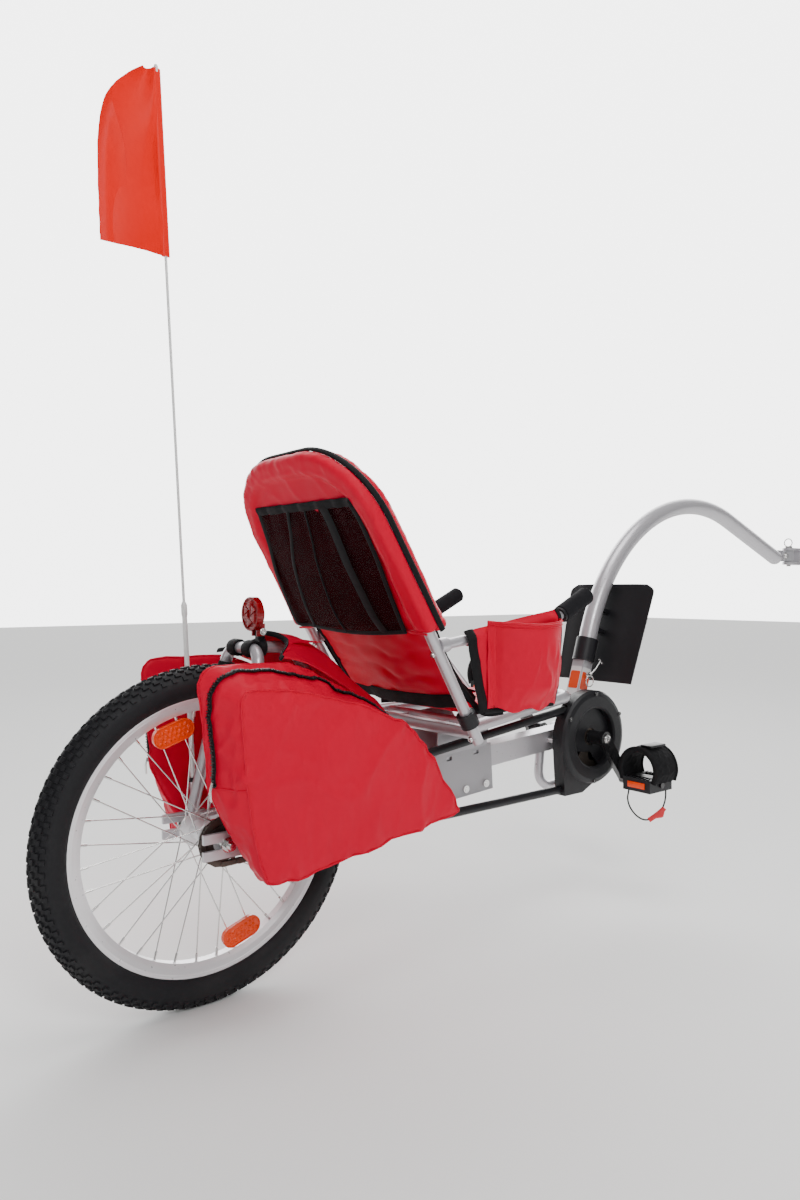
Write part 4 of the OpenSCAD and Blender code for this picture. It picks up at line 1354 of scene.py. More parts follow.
@dataclass
class Signals:
    """The flag, its pole's fittings and the rear reflector."""

    lean: float = 3.0
    foot: tuple = (24.0, 88.0, 262.0)
    flag_foot: float = 885.0
    flag_tall: float = 286.0
    pole_top: float = 1172.0
    reflector_height: float = 586.0
    spoke_reflector: tuple = (168.0, -12.4)

    def on_pole(self, x: float, y: float, up: float) -> Vector:
        """Place beside the pole: forward, left and up along it, in millimetres."""
        a = math.radians(self.lean)
        fx, fy, fz = self.foot
        return PLAN.at(fx + x * math.cos(a) - up * math.sin(a), fy + y,
                       fz + x * math.sin(a) + up * math.cos(a))

    def flag(self) -> None:
        """Thin flag sleeved on the pole, its fly edge curled back on itself."""
        edge = smooth_path([(104, 891, 0), (102, 960, 0), (98, 1045, 0), (84, 1108, 0), (48, 1150, 0),
                            (22, 1170, 0)], 8)

        def shape(u: float, v: float) -> Vector:
            """Place on the flag: u from the pole to the curled edge, v from the hem to the top."""
            reach, up, _ = part_way(edge, v)
            base = self.flag_foot + self.flag_tall * v
            curl = 46 * (1 - ease(0.30, 0.72, v)) * (0.55 + 0.45 * math.sin(3.0 * v + 0.3))
            whole = reach + curl
            run = u * whole
            ripple = 4.2 * math.sin(u * 5.2 + v * 1.4) * ease(0, 0.25, u) + 1.8 * math.sin(v * 9 + u * 3)
            if run <= reach:
                t = run / reach
                lift = (up - base) * t * t
                return self.on_pole(-run, -ripple - 1.0, base + lift)
            back = run - reach
            return self.on_pole(-reach + back * 0.96,
                                -ripple - 1 - 5.5 * math.sin(math.pi * min(back / 34, 0.5)),
                                up - back * 0.10)

        flag = Shop.sheet("flag_sheet", shape, (44, 60), 0, FLAG_VINYL, Body.FRAME)
        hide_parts("flag")
        Shop.smooth_over(flag)
        sleeve = [self.on_pole(0, 0, up) for up in (self.flag_foot, 980, 1080, self.pole_top)]
        Shop.band("flag_sleeve", smooth_path(sleeve, 6), AHEAD, 14, 6.4, FLAG_VINYL, Body.FRAME, sides=12)
        for name, x in (("flag_sleeve_stitch_a", -8), ("flag_sleeve_stitch_b", -10.5)):
            seam = [self.on_pole(x, -2.2 - 0.04 * (x + 8), up) for up in range(888, 1168, 8)]
            Shop.band(name, seam, LEFT, 0.8, 0.8, FLAG_VINYL, Body.FRAME, sides=5)

    def pole(self) -> None:
        """Ferrule, cap and socket clamp of the pole."""
        up = (self.on_pole(0, 0, 100) - self.on_pole(0, 0, 0)).normalized()
        Shop.turned("pole_ferrule", [(0, -9), (4.6, -9), (4.9, -6), (4.9, 8), (4.0, 10), (2.9, 13),
                                     (0, 13)],
                    self.on_pole(0, 0, 330), up, POLE_WHITE, Body.FRAME, 20)
        Shop.turned("pole_tip", [(0, -6), (3.4, -6), (3.6, 3), (2.4, 6), (0, 6.6)],
                    self.on_pole(0, 0, self.pole_top), up,
                    POLE_WHITE, Body.FRAME, 20)
        Shop.turned("pole_socket_lip", [(4.3, 0), (7.4, 0), (7.4, 5), (6.6, 6.5), (4.3, 6.5), (4.3, 0)],
                    self.on_pole(0, 0, 54), up, BLACK_PLASTIC, Body.FRAME, 20)

    def reflector(self) -> None:
        """Round rear reflector: bezel, raised prism panes, back shell and bolts."""
        centre = PLAN.at(77, 0, self.reflector_height)
        back = -AHEAD
        Shop.turned("reflector_bezel",
                    [(0, -9.5), (23, -9.5), (26.4, -7), (27, 0), (26.5, 1.6), (24.2, 1.8), (23.6, 0.2),
                                        (0, 0.2)], centre, back, REFLECTOR_RED, Body.REFLECTOR, 40)
        bm = bmesh.new()
        for i in range(6):
            pane = bmesh.ops.create_cone(bm, cap_ends=True, segments=3, radius1=0.0118, radius2=0.0086,
                                         depth=0.0036)["verts"]
            a = math.tau * i / 6
            bmesh.ops.rotate(bm, cent=(0, 0, 0), matrix=Matrix.Rotation(a, 3, "Z"), verts=pane)
            bmesh.ops.translate(bm, vec=(0.0125 * math.cos(a), 0.0125 * math.sin(a), 0), verts=pane)
        bmesh.ops.rotate(bm, cent=(0, 0, 0), matrix=Matrix.Rotation(-math.pi / 2, 3, "Y"), verts=bm.verts)
        bmesh.ops.translate(bm, vec=centre + back * 0.0014, verts=bm.verts)
        Shop.piece("reflector_panes", bm, REFLECTOR_RED, Body.REFLECTOR, sharp=10)
        bm = bmesh.new()
        shell = bmesh.ops.create_cone(bm, cap_ends=True, segments=32, radius1=0.0262, radius2=0.019,
                                      depth=0.006)["verts"]
        bmesh.ops.rotate(bm, cent=(0, 0, 0), matrix=Matrix.Rotation(math.pi / 2, 3, "Y"), verts=shell)
        bmesh.ops.translate(bm, vec=PLAN.at(89, 0, self.reflector_height), verts=shell)
        Shop.piece("reflector_back_shell", bm, BLACK_PLASTIC, Body.REFLECTOR)
        for side in Side:
            Shop.bolt(f"reflector_bolt_{side.name.lower()}", PLAN.at(94, side.value * 10.6, 558),
                      side.value * LEFT, 4.2, Body.REFLECTOR, tall=2.2)

    def wheel_reflectors(self) -> None:
        """Rims round the two spoke reflectors."""
        for a in (109, -71):
            r = math.radians(a)
            reach, y = self.spoke_reflector
            mid = PLAN.at(reach * math.cos(r), y, PLAN.axle_height + reach * math.sin(r))
            out, along = Vector((math.cos(r), 0, math.sin(r))), Vector((-math.sin(r), 0, math.cos(r)))
            loop = []
            for i in range(40):
                t = math.tau * i / 40
                aside = 0.0146 * math.sin(t) + math.copysign(0.017, math.sin(t))
                loop.append(mid + out * 0.0146 * math.cos(t) + along * aside)
            tag = "upper" if a > 0 else "lower"
            Shop.band(f"spoke_reflector_rim_{tag}", loop, LEFT, 2.4, 2.4, REFLECTOR_ORANGE,
                      Body.WHEEL, closed=True, sides=6)
            bm = bmesh.new()
            for k in range(-3, 4):
                for j in (-1, 0, 1):
                    prism = bmesh.ops.create_cone(bm, cap_ends=True, segments=6, radius1=0.0041,
                                                  radius2=0.0012,
                                                  depth=0.0022)["verts"]
                    place = mid + along * (k + j % 2 * 0.5 - 0.25) * 0.0074 + out * j * 0.0070
                    m = axes_matrix(out, along, -LEFT)
                    m.translation = place + Vector((0, -0.0002, 0))
                    bmesh.ops.transform(bm, matrix=m, verts=prism)
            Shop.piece(f"spoke_reflector_prisms_{tag}", bm, REFLECTOR_ORANGE, Body.WHEEL, sharp=10)

    def build(self) -> None:
        """Builds the flag, the pole's fittings and the reflectors."""
        self.flag()
        self.pole()
        self.reflector()
        self.wheel_reflectors()


# ---------------------------------------------------------------- seat


@dataclass
class Seat:
    """Padded seat: back cover, cushion, net, sling, pad, side panels, cup pockets and harness."""

    half_width: float = 175.0
    shoulder: float = 397.0
    bend: float = 125.0
    hem: float = 216.0
    flare: float = 8.0
    cover_outset: float = 15.0
    cover_rear: float = -15.0
    cover_front: float = 10.0
    cushion_front: float = 38.0
    arm_y: float = 175.0

    @staticmethod
    def tape(name: str, path: Sequence[Vector], across: Vector, width: float, thick: float,
             sides: int = 8) -> None:
        """Black band that rides on the seat; its width and thickness are in millimetres."""
        Shop.band(name, path, across, width, thick, BLACK_TAPE, Body.SEAT, sides=sides)

    def arch(self, outset: float, start: float, per: int = 12) -> list:
        """Outline up the right side, over the top and down the left.

        Args:
            outset: how far outside the tubes' middle it runs, in millimetres.
            start: where it starts, up the back.
            per: points round each bend.

        Returns:
            Its points as (y, s), in millimetres.
        """
        w, r = self.half_width + outset, self.bend + outset
        middle, wide = (start + self.shoulder) / 2, self.flare
        out = [(-w - wide, start), (-w - wide / 2, middle)]
        for i in range(per + 1):
            a = math.pi - math.pi / 2 * i / per
            out.append((-(w - r) + r * math.cos(a), self.shoulder + r * math.sin(a)))
        for i in range(per + 1):
            a = math.pi / 2 - math.pi / 2 * i / per
            out.append(((w - r) + r * math.cos(a), self.shoulder + r * math.sin(a)))
        return out + [(w + wide / 2, middle), (w + wide, start)]

    def inside(self, y: float, s: float) -> float:
        """Distance of a place inside the outermost outline of the cover, in millimetres."""
        w, r = self.half_width + self.cover_outset, self.bend + self.cover_outset
        if s < self.shoulder or abs(y) < w - r:
            return w - abs(y) if s < self.shoulder else self.shoulder + r - s
        return r - math.hypot(abs(y) - (w - r), s - self.shoulder)

    def local(self, p: Vector) -> Vector:
        """(n, y, s) in millimetres of a row-frame place."""
        return (PLAN.back_frame().inverted() @ p) * 1000

    def cover(self) -> None:
        """Rear cover stretched over the tubes, slack between them."""
        outline = [PLAN.back(s, y, self.cover_rear) for y, s in self.arch(self.cover_outset, self.hem)]
        normal = PLAN.facing()
        bm = slab(outline, normal * (self.cover_front - self.cover_rear) / 1000, 0.0105, 4)
        cover = Shop.piece("back_cover", bm, RED_CLOTH, Body.SEAT, sharp=80)
        Softener.even_cells(cover, 0.005)

        def depth_at(p: Vector) -> float:
            """Slack skin between the tubes, with gathers over the top bend."""
            n, y, s = self.local(p)
            inside = self.inside(y, s)
            skin = 1 - ease(-13.5, -7, n)
            slack = -6.5 * ease(24, 40, inside) * skin
            gather = Softener.folds(p, 0.022, 1.4, (1, 1, 0.5),
                                    2.2) * (1 - ease(18, 46, inside)) * ease(330, 520, s)
            broad = Softener.folds(p, 0.075, 2.6, (0.6, 1, 1), 6.4) * skin
            lip = 1.6 * (1 - ease(2, 9, abs(inside - 30))) * skin * ease(300, 470, s)
            return (slack + gather + broad + lip) / 1000

        Softener.crease(cover, depth_at)
        Softener.even_smooth(cover)
        Shop.smooth_over(cover)
        loop = [PLAN.back(s, y, 9.5) for y, s in self.arch(self.cover_outset, self.hem - 4, 18)]
        self.tape("back_cover_binding", loop, normal, 11, 5, sides=10)
        seam = [PLAN.back(s, y, -13.6) for y, s in self.arch(self.cover_outset - 27.5, 330, 14)][1:-1]
        Shop.band("back_cover_top_seam", seam, normal, 2.2, 2.6, RED_CLOTH, Body.SEAT, sides=6)
        hem = [PLAN.back(self.hem + 1 + 2 * math.sin(i / 3), y, -13.2 + 5.5 * ease(150, 130, abs(y)))
               for i, y in enumerate(range(-186, 187, 12))]
        Shop.band("back_cover_hem", hem, normal, 3, 4.5, RED_CLOTH, Body.SEAT, sides=6)

    def cushion(self) -> None:
        """Front padding of the back, filled and quilted down its middle."""
        outline = [PLAN.back(s, y, self.cover_front) for y, s in self.arch(4, self.hem - 14)]
        bm = slab(outline, PLAN.facing() * (self.cushion_front - self.cover_front) / 1000, 0.011, 2)
        pad = Shop.piece("back_cushion_pad", bm, RED_CLOTH, Body.SEAT, sharp=80)

        def held(p: Vector) -> float:
            """Firm at the rear face and loosely along the quilting lines."""
            n, y, s = self.local(p)
            if n < 12:
                return 1.0
            lines = min(abs(y), abs(abs(y) - 88), abs(s - 320) if abs(y) < 88 else 99)
            return 0.55 * (1 - ease(3, 10, lines))

        Softener.inflate(pad, 0.0062, 5.0, 0.018, held, 16)
        Softener.crease(pad, lambda p: Softener.folds(p, 0.03, 0.0011, seed=3.3)
                        * ease(8, 16, self.local(p).x))
        Softener.even_smooth(pad)
        Shop.smooth_over(pad)
        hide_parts("back_cushion")

    def net_pocket(self) -> None:
        """Gathered net pocket on the rear of the cover, with its hem, borders and webbing."""
        right = smooth_path([(-148, 451, 0), (-150, 362, 0), (-142, 292, 0), (-135, 218, 0)], 8)
        left = smooth_path([(133, 455, 0), (146, 408, 0), (166, 332, 0), (184, 226, 0)], 8)

        def place(u: float, v: float, proud: float = 0.0) -> Vector:
            """Place on the net: u from the right border to the left, v from the hem down."""
            p = part_way(right, v).lerp(part_way(left, v), u)
            sag = -10 * math.sin(math.pi * u) * ease(0.6, 1.0, v)
            inside = self.inside(p.x, p.y)
            wrap = 11.5 * (1 - ease(0, 17, inside)) ** 2
            base = -16.8 + wrap + 5.2 * ease(26, 44, inside)
            pleats = ((1.3 * math.sin(u * 37 + 2 * v) + 0.8 * math.sin(u * 71 + 1))
                      * (1 - ease(0.05, 0.7, v)))
            bag = -13 * math.sin(math.pi * u) ** 0.8 * ease(0.02, 0.5, v) * (1 - 0.8 * ease(0.8, 1.0, v))
            return PLAN.back(p.y + sag, p.x, base + bag + pleats * ease(0, 0.08, min(u, 1 - u)) - proud)

        net = Shop.sheet("net_pocket", place, (110, 60), 0.6, NET, Body.SEAT)
        up = PLAN.rising()
        self.tape("net_pocket_hem", [place(i / 40, 0.012, 0.8) for i in range(41)], up, 15, 4)
        for tag, u in (("right", 0.012), ("left", 0.988)):
            self.tape(f"net_pocket_border_{tag}", [place(u, i / 24, 0.8) for i in range(25)], LEFT, 11, 3)
        self.tape("net_pocket_bottom", [place(i / 40, 0.99, 0.8) for i in range(41)], up, 8, 3)
        for tag, top, bottom, wide in (("right", 0.29, 0.17, 22), ("left", 0.64, 0.83, 9),
                                       ("middle", 0.47, 0.52, 4)):
            self.tape(f"net_pocket_webbing_{tag}",
                      [place(top + (bottom - top) * i / 24, i / 24, 1.2) for i in range(25)],
                      LEFT, wide, 2.2)

    def sling(self) -> None:
        """Lower back panel between the uprights, with its black band and laced edges."""

        def panel(u: float, v: float) -> Vector:
            """Place on the panel: u across, v from the band up to the cover."""
            s = 52 + 178 * v
            half = 153 + 3 * v
            y = -half + 2 * half * u
            belly = -9 * math.sin(math.pi * u) * math.sin(math.pi * min(v + 0.15, 1))
            fold = Softener.folds(Vector((y, s, 0)) / 1000, 0.06, 4.5, (0.7, 1.3, 1), 9.1)
            return PLAN.back(s - 5 * math.sin(math.pi * u) * (1 - v), y, belly + 20 - 17 * v + fold)

        sheet = Shop.sheet("lower_back_panel", panel, (44, 30), 2.0, RED_CLOTH, Body.SEAT)
        low = [panel(i / 30, 0.075) - PLAN.facing() * 0.0016 for i in range(31)]
        self.tape("lower_back_band", low, PLAN.rising(), 27, 5, sides=12)
        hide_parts("seat_sling")
        for tag, u in (("right", 0.0), ("left", 1.0)):
            self.tape(f"lower_back_edge_{tag}", [panel(u, i / 20) for i in range(21)], LEFT, 9, 4.5)

    def pad(self) -> None:
        """The seat's own cushion."""
        outline = [PLAN.at(x, y, 409) for x,
                   y in ((428, -113), (688, -60), (714, -38), (714, 38), (688, 60), (428, 113))]
        bm = slab(outline, Vector((0, 0, 0.018)), 0.007, 2)
        pad = Shop.piece("seat_pad", bm, RED_CLOTH, Body.SEAT, sharp=80)

        def held(p: Vector) -> float:
            """Firm underneath and loosely along the two cross channels."""
            x, z = p.x * 1000 + PLAN.wheel_to_post, p.z * 1000 + PLAN.clamp_height
            if z < 412:
                return 1.0
            return 0.5 * (1 - ease(3, 9, min(abs(x - 510), abs(x - 600))))

        Softener.inflate(pad, 0.0058, 4.0, 0.012, held, 14)
        Softener.even_smooth(pad)
        Shop.smooth_over(pad)
        edge = [PLAN.at(x, y, 412) for x,
                y in ((424, -117), (689, -63), (712, -52), (719, -38), (719, 38), (712, 52),
                                                (689, 63), (424, 117))]
        self.tape("seat_pad_binding", smooth_path(edge, 4), UP, 13, 4)

    def side_panel(self, side: Side) -> None:
        """Side panel hung from the armrest, with its bindings and cup pocket."""
        tag, y = side.name.lower(), side.value
        rear = ((374, 556), (381, 512), (396, 452), (405, 424))
        front = ((586, 588), (586, 540), (582, 470), (572, 424))
        back = smooth_path([(x, 0, z) for x, z in rear], 8)
        fore = smooth_path([(x, 0, z) for x, z in front], 8)

        def panel(u: float, v: float) -> Vector:
            """Place on the panel: u forward, v from the armrest down."""
            p = part_way(back, v).lerp(part_way(fore, v), u)
            over = 1 - ease(0.0, 0.12, v)
            wave = Softener.folds(Vector((p.x, 0, p.z)) / 1000, 0.06, 2.4, seed=2.5)
            return PLAN.at(p.x, y * (189.5 - 9 * over + wave - 3 * v), p.z + 2 * over)

        sheet = Shop.sheet(f"side_panel_{tag}", panel, (40, 34), 2.0, RED_CLOTH, Body.SEAT)
        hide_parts("side_panels")
        for name, u, wide in (("rear", 0.0, 20), ("front", 1.0, 9)):
            self.tape(f"side_panel_binding_{name}_{tag}", [panel(u, i / 24) for i in range(25)],
                      Vector((1, 0, 0.2)),
                      wide, 7, sides=12)
        self.tape(f"side_panel_binding_bottom_{tag}", [panel(i / 24, 1.0) for i in range(25)], UP, 9, 4.5)

        def sleeve(u: float, v: float) -> Vector:
            """Place on the cloth wrapped round the armrest tube."""
            a = math.tau * u
            x = 378 + 206 * v
            z = 535.2 + (x - 320) * 0.1385
            return PLAN.at(x, y * (self.arm_y + 12.6 * math.cos(a)), z + 11.2 * math.sin(a))

        Shop.sheet(f"armrest_sleeve_{tag}", sleeve, (24, 30), 0, RED_CLOTH, Body.SEAT)
        self.cup_pocket(side)

    def cup_pocket(self, side: Side) -> None:
        """Open pocket that bulges from the side panel, gathered at its foot."""
        tag, y = side.name.lower(), side.value

        def shape(u: float, v: float) -> Vector:
            """Place on the pocket: u forward, v from the rim down."""
            x = 408 + 172 * u
            bulge = 43 * math.sin(math.pi * min(max((u - 0.10) / 0.90, 0), 1)) ** 0.62
            foot = 1 - 0.50 * ease(0.72, 1.0, v)
            rim = 3.5 * math.sin(u * 8) * (1 - ease(0, 0.25, v))
            fold = Softener.folds(Vector((x, bulge, v * 150)) / 1000, 0.034, 3.6, (1.3, 1, 0.6),
                                  7.7) * ease(0.1, 0.4, v)
            z = 574 - 6 * math.sin(math.pi * u) - 146 * v + 4 * math.sin(u * 17) * ease(0.85, 1, v)
            return PLAN.at(x - 10 * u * ease(0.3, 1, v), y * (190.5 + (bulge + rim) * foot + fold), z)

        pocket = Shop.sheet(f"cup_pocket_{tag}", shape, (52, 40), 1.8, RED_CLOTH, Body.SEAT)
        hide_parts("cup_pockets")
        Shop.smooth_over(pocket)

        def floor(u: float, v: float) -> Vector:
            """Place on the pocket's floor."""
            rim = shape(u, 0.985)
            root = PLAN.at(420 + 150 * u, y * 190, 430)
            return rim.lerp(root, v) + Vector((0, 0, 0.003 * math.sin(math.pi * v)))

        # The floor is painted darker red as painted shade at the bottom of the pocket.
        Shop.sheet(f"cup_pocket_floor_{tag}", floor, (40, 8), 1.6, RED_PAINTED_SHADE, Body.SEAT)
        for k, v in enumerate((0.02, 0.06)):
            Shop.band(f"cup_pocket_rim_stitch_{k}_{tag}", [shape(i / 40, v) for i in range(41)], UP,
                      1.6, 3.2, RED_CLOTH, Body.SEAT, sides=6)

    def harness(self) -> None:
        """Shoulder, lap and crotch straps with their buckle, and the side straps."""
        for side in Side:
            y, tag = side.value, side.name.lower()
            front = [PLAN.back(s, y * w, n) for s, w,
                     n in ((440, 52, 34), (400, 52, 50), (320, 46, 54), (230, 36, 54),
                                                            (150, 22, 56), (104, 9, 66))]
            self.tape(f"shoulder_strap_{tag}", smooth_path(front, 6), LEFT, 25, 2.2)
            pad = [PLAN.back(s, y * w, n) for s, w, n in ((395, 52, 52.5), (335, 48, 56), (270, 41, 57))]
            Shop.band(f"shoulder_pad_{tag}", smooth_path(pad, 8), LEFT, 44, 9, STRAP_PAD, Body.SEAT,
                      sides=14)
            lap = [PLAN.at(452, y * 112, 428), PLAN.at(452, y * 80, 446), PLAN.at(438, y * 36, 470),
                   PLAN.back(100, y * 10, 66)]
            self.tape(f"lap_strap_{tag}", smooth_path(lap, 6), Vector((0, 0.2, 1)), 25, 2.2)
            strap = [PLAN.back(222, y * 172, 14), PLAN.back(140, y * 166, 16), PLAN.at(392, y * 168, 442),
                     PLAN.at(416, y * 176, 420), PLAN.at(448, y * 186, 421)]
            self.tape(f"side_strap_{tag}", smooth_path(strap, 6), Vector((1, 0, 1)), 11, 3)
        crotch = [PLAN.back(92, 0, 66), PLAN.at(474, 0, 452), PLAN.at(520, 0, 440), PLAN.at(560, 0, 430)]
        self.tape("crotch_strap", smooth_path(crotch, 6), LEFT, 25, 2.2)
        bm = brick((0.012, 0.052, 0.046), 0.004, 3)
        m = PLAN.back_frame()
        m.translation = PLAN.back(100, 0, 68)
        bmesh.ops.transform(bm, matrix=m, verts=bm.verts)
        Shop.piece("harness_buckle", bm, BLACK_PLASTIC, Body.SEAT)
        Shop.turned("harness_button", [(0, -2), (9, -2), (9, 1.4), (7.6, 2.4), (0, 2.4)],
                    PLAN.back(100, 0, 75),
                    PLAN.facing(), TAG_RED, Body.SEAT, 24)

    def fittings(self) -> None:
        """Bolts of the uprights, armrest bosses, grip ends and grip collars."""
        for side in Side:
            y, tag = side.value, side.name.lower()
            for i, s in enumerate((176.0, 12.0)):
                Shop.bolt(f"upright_bolt_{i}_{tag}", PLAN.back(s, y * 172, -9.0), -PLAN.facing(), 4.6,
                          Body.SEAT, tall=3.6)
            end, start = PLAN.at(676, y * self.arm_y, 613.4), PLAN.at(608, y * self.arm_y, 580.3)
            Shop.turned(f"grip_end_{tag}",
                        [(0, -3), (15.8, -3), (15.2, 1.5), (12.4, 4.6), (6, 5.6), (0, 5.8)], end,
                        (end - start).normalized(), FOAM, Body.SEAT, 28, sharp=60)
            Shop.turned(f"grip_collar_{tag}", [(8.6, -4), (13.8, -4), (14.4, 0), (8.6, 0), (8.6, -4)],
                        start,
                        (end - start).normalized(), BLACK_PLASTIC, Body.SEAT, 28)
            boss = PLAN.at(331, y * self.arm_y, 536.8)
            ahead = Vector((282, 0, 39)).normalized()
            Shop.turned(f"armrest_boss_{tag}",
                        [(8.6, 0), (11.8, 0), (11.2, 3), (9.4, 4.5), (8.6, 4.5), (8.6, 0)], boss, ahead,
                        SILVER_PAINT, Body.SEAT, 24)

    def build(self) -> None:
        """Builds the seat's soft goods and fittings."""
        self.cover()
        self.cushion()
        self.net_pocket()
        self.sling()
        self.pad()
        for side in Side:
            self.side_panel(side)
        self.harness()
        self.fittings()


# ---------------------------------------------------------------- tow arm


@dataclass
class TowArm:
    """Dressing of the post, the arm's foot, the splash plate and the hitch."""

    foot: tuple = (916.0, 426.0)
    lean: float = 16.5
    post_top: tuple = (883.0, 474.0)
    post_along: tuple = (0.3066, 0.9518)
    clamp_radius: float = 27.2

    def plate_at(self, n: float, y: float, up: float) -> Vector:
        """Place on the splash plate: forward of it, left and up along it, in millimetres."""
        a = math.radians(self.lean)
        return PLAN.at(self.foot[0] + n * math.cos(a) + up * math.sin(a), y,
                       self.foot[1] - n * math.sin(a) + up * math.cos(a))

    def splash_plate(self) -> None:
        """Moulded plate, creased down its middle, with a rolled rim and rounded shoulders."""

        def shape(u: float, v: float) -> Vector:
            """Place on the plate."""
            half = 98 + 14 * min(v / 0.9, 1)
            round_off = 1 - ease(0.0, 0.095, 1 - v)
            half -= 19 * (1 - math.sqrt(max(0.0, 1 - round_off**2)))
            y = (u * 2 - 1) * half
            crease = 3.0 * (1 - ease(0.0, 0.12, abs(u - 0.62))) + 2.4 * ease(0.55, 1.0, abs(u * 2 - 1)) ** 2
            bow = -2.2 * math.cos(math.pi * v)
            return self.plate_at(crease * 0.8 - 1.5 + bow * 0.5, y, 219.5 * v)

        plate = Shop.sheet("splash_plate_skin", shape, (40, 48), 3.0, BLACK_PLASTIC, Body.FRAME)
        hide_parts("splash_plate")
        for i, (up, reach) in enumerate(((109, 29), (155, 24))):
            bm = brick((reach / 1000, 0.016, 0.010), 0.0015)
            bmesh.ops.rotate(bm, cent=(0, 0, 0), matrix=Matrix.Rotation(math.radians(self.lean), 3, "Y"),
                             verts=bm.verts)
            bmesh.ops.translate(bm, vec=self.plate_at(-reach / 2, 0, up), verts=bm.verts)
            Shop.piece(f"splash_plate_tab_{i}", bm, BLACK_PLASTIC, Body.FRAME)
            normal = (self.plate_at(1, 0, 0) - self.plate_at(0, 0, 0)).normalized()
            Shop.bolt(f"splash_plate_bolt_{i}", self.plate_at(3.4, 0, up), normal, 4.2, Body.FRAME,
                      tall=2.4)

    def post(self) -> None:
        """Plain coloured plate and the pin's handle on the post."""
        (run, rise), (x, z) = self.post_along, self.post_top
        along, ahead, top = Vector((run, 0, rise)), Vector((rise, 0, -run)), PLAN.at(x, 0, z)
        for name, lift, tall, wide, finish, proud in (
            ("post_label_ground", -0.050, 0.062, 0.027, LABEL_WHITE, 0.0003),
            ("post_label_plate", -0.048, 0.038, 0.0245, LABEL_ORANGE, 0.0007),
        ):
            for tag, normal, across in (("right", -LEFT, ahead), ("left", LEFT, -ahead),
                                        ("rear", -ahead, -LEFT)):
                bm = bmesh.new()
                verts = bmesh.ops.create_cube(bm, size=1.0)["verts"]
                bmesh.ops.scale(bm, vec=(wide, tall, 0.0008), verts=verts)
                bmesh.ops.bevel(bm, geom=[e for e in bm.edges
                                          if abs((e.verts[0].co - e.verts[1].co).z) > 1e-5],
                                offset=0.003, offset_type="OFFSET", segments=3, profile=0.5, affect="EDGES",
                                material=-1)
                m = axes_matrix(across, along, normal)
                m.translation = top + along * lift + normal * (0.0151 + proud)
                bmesh.ops.transform(bm, matrix=m, verts=bm.verts)
                Shop.piece(f"{name}_{tag}", bm, finish, Body.FRAME)
        pin = PLAN.at(x - run * 34, -27, z - rise * 34)
        handle = [pin + Vector((0.002, 0, 0.002)), pin + Vector((0.016, -0.003, 0.014)),
                  pin + Vector((0.030, -0.004, 0.030))]
        Shop.band("arm_pin_handle", handle, LEFT, 4.4, 4.4, BRIGHT_STEEL, Body.ARM_PIN)
        across = Vector((0.72, 0, -0.69))
        bar = [handle[-1] - across * 0.008, handle[-1], handle[-1] + across * 0.008]
        Shop.band("arm_pin_bar", bar, LEFT, 4.8, 4.8, BRIGHT_STEEL, Body.ARM_PIN)

    def welds(self) -> None:
        """Weld beads where the frame's tubes meet."""
        run, rise = self.post_along
        rings = (
            ("weld_post_foot", (838, 0, 338), Vector((run, 0, rise)), 17.5),
            ("weld_guard_front", (857, 0, 292), Vector((-0.38, 0, 0.92)), 9.8),
            ("weld_guard_rear", (746, 0, 294), UP, 9.8),
            ("weld_top_tube", (75.5, 0, 533), AHEAD, 9.8),
        )
        for name, centre, axis, radius in rings:
            mid, axis = PLAN.at(*centre), axis.normalized()
            side = axis.orthogonal().normalized()
            other = axis.cross(side)
            loop = []
            for i in range(48):
                a = math.tau * i / 48
                r = (radius + 0.35 * math.sin(a * 16)) / 1000
                loop.append(mid + side * r * math.cos(a) + other * r * math.sin(a))
            Shop.band(name, loop, axis, 4.2, 3.2, SILVER_PAINT, Body.FRAME, closed=True)

    def hitch(self) -> None:
        """Clamp bolts, the yoke's pivot ends and the clamp's rim."""
        for side in Side:
            tag, out, near = side.name.lower(), side.value * LEFT, side is Side.RIGHT
            for i, z in enumerate((710, 726)):
                Shop.bolt(f"clamp_bolt_{i}_{tag}", PLAN.at(1876, side.value * 12.2, z), out, 4.4,
                          Body.CLAMP,
                          socket=near)
            Shop.bolt(f"pitch_bolt_{tag}", PLAN.at(1729, side.value * 14.8, 718), out, 7.2, Body.YOKE,
                      socket=near)
        r, steps = self.clamp_radius, [math.tau * i / 48 for i in range(4, 45)]
        rim = [PLAN.at(PLAN.wheel_to_post + r * math.cos(a), r * math.sin(a), 739.5) for a in steps]
        Shop.band("clamp_rim", rim, UP, 3.0, 2.0, SILVER_PAINT, Body.CLAMP)

    def build(self) -> None:
        """Builds the tow arm's dressing."""
        self.splash_plate()
        self.post()
        self.welds()
        self.hitch()


# ---------------------------------------------------------------- dressing, stage and camera

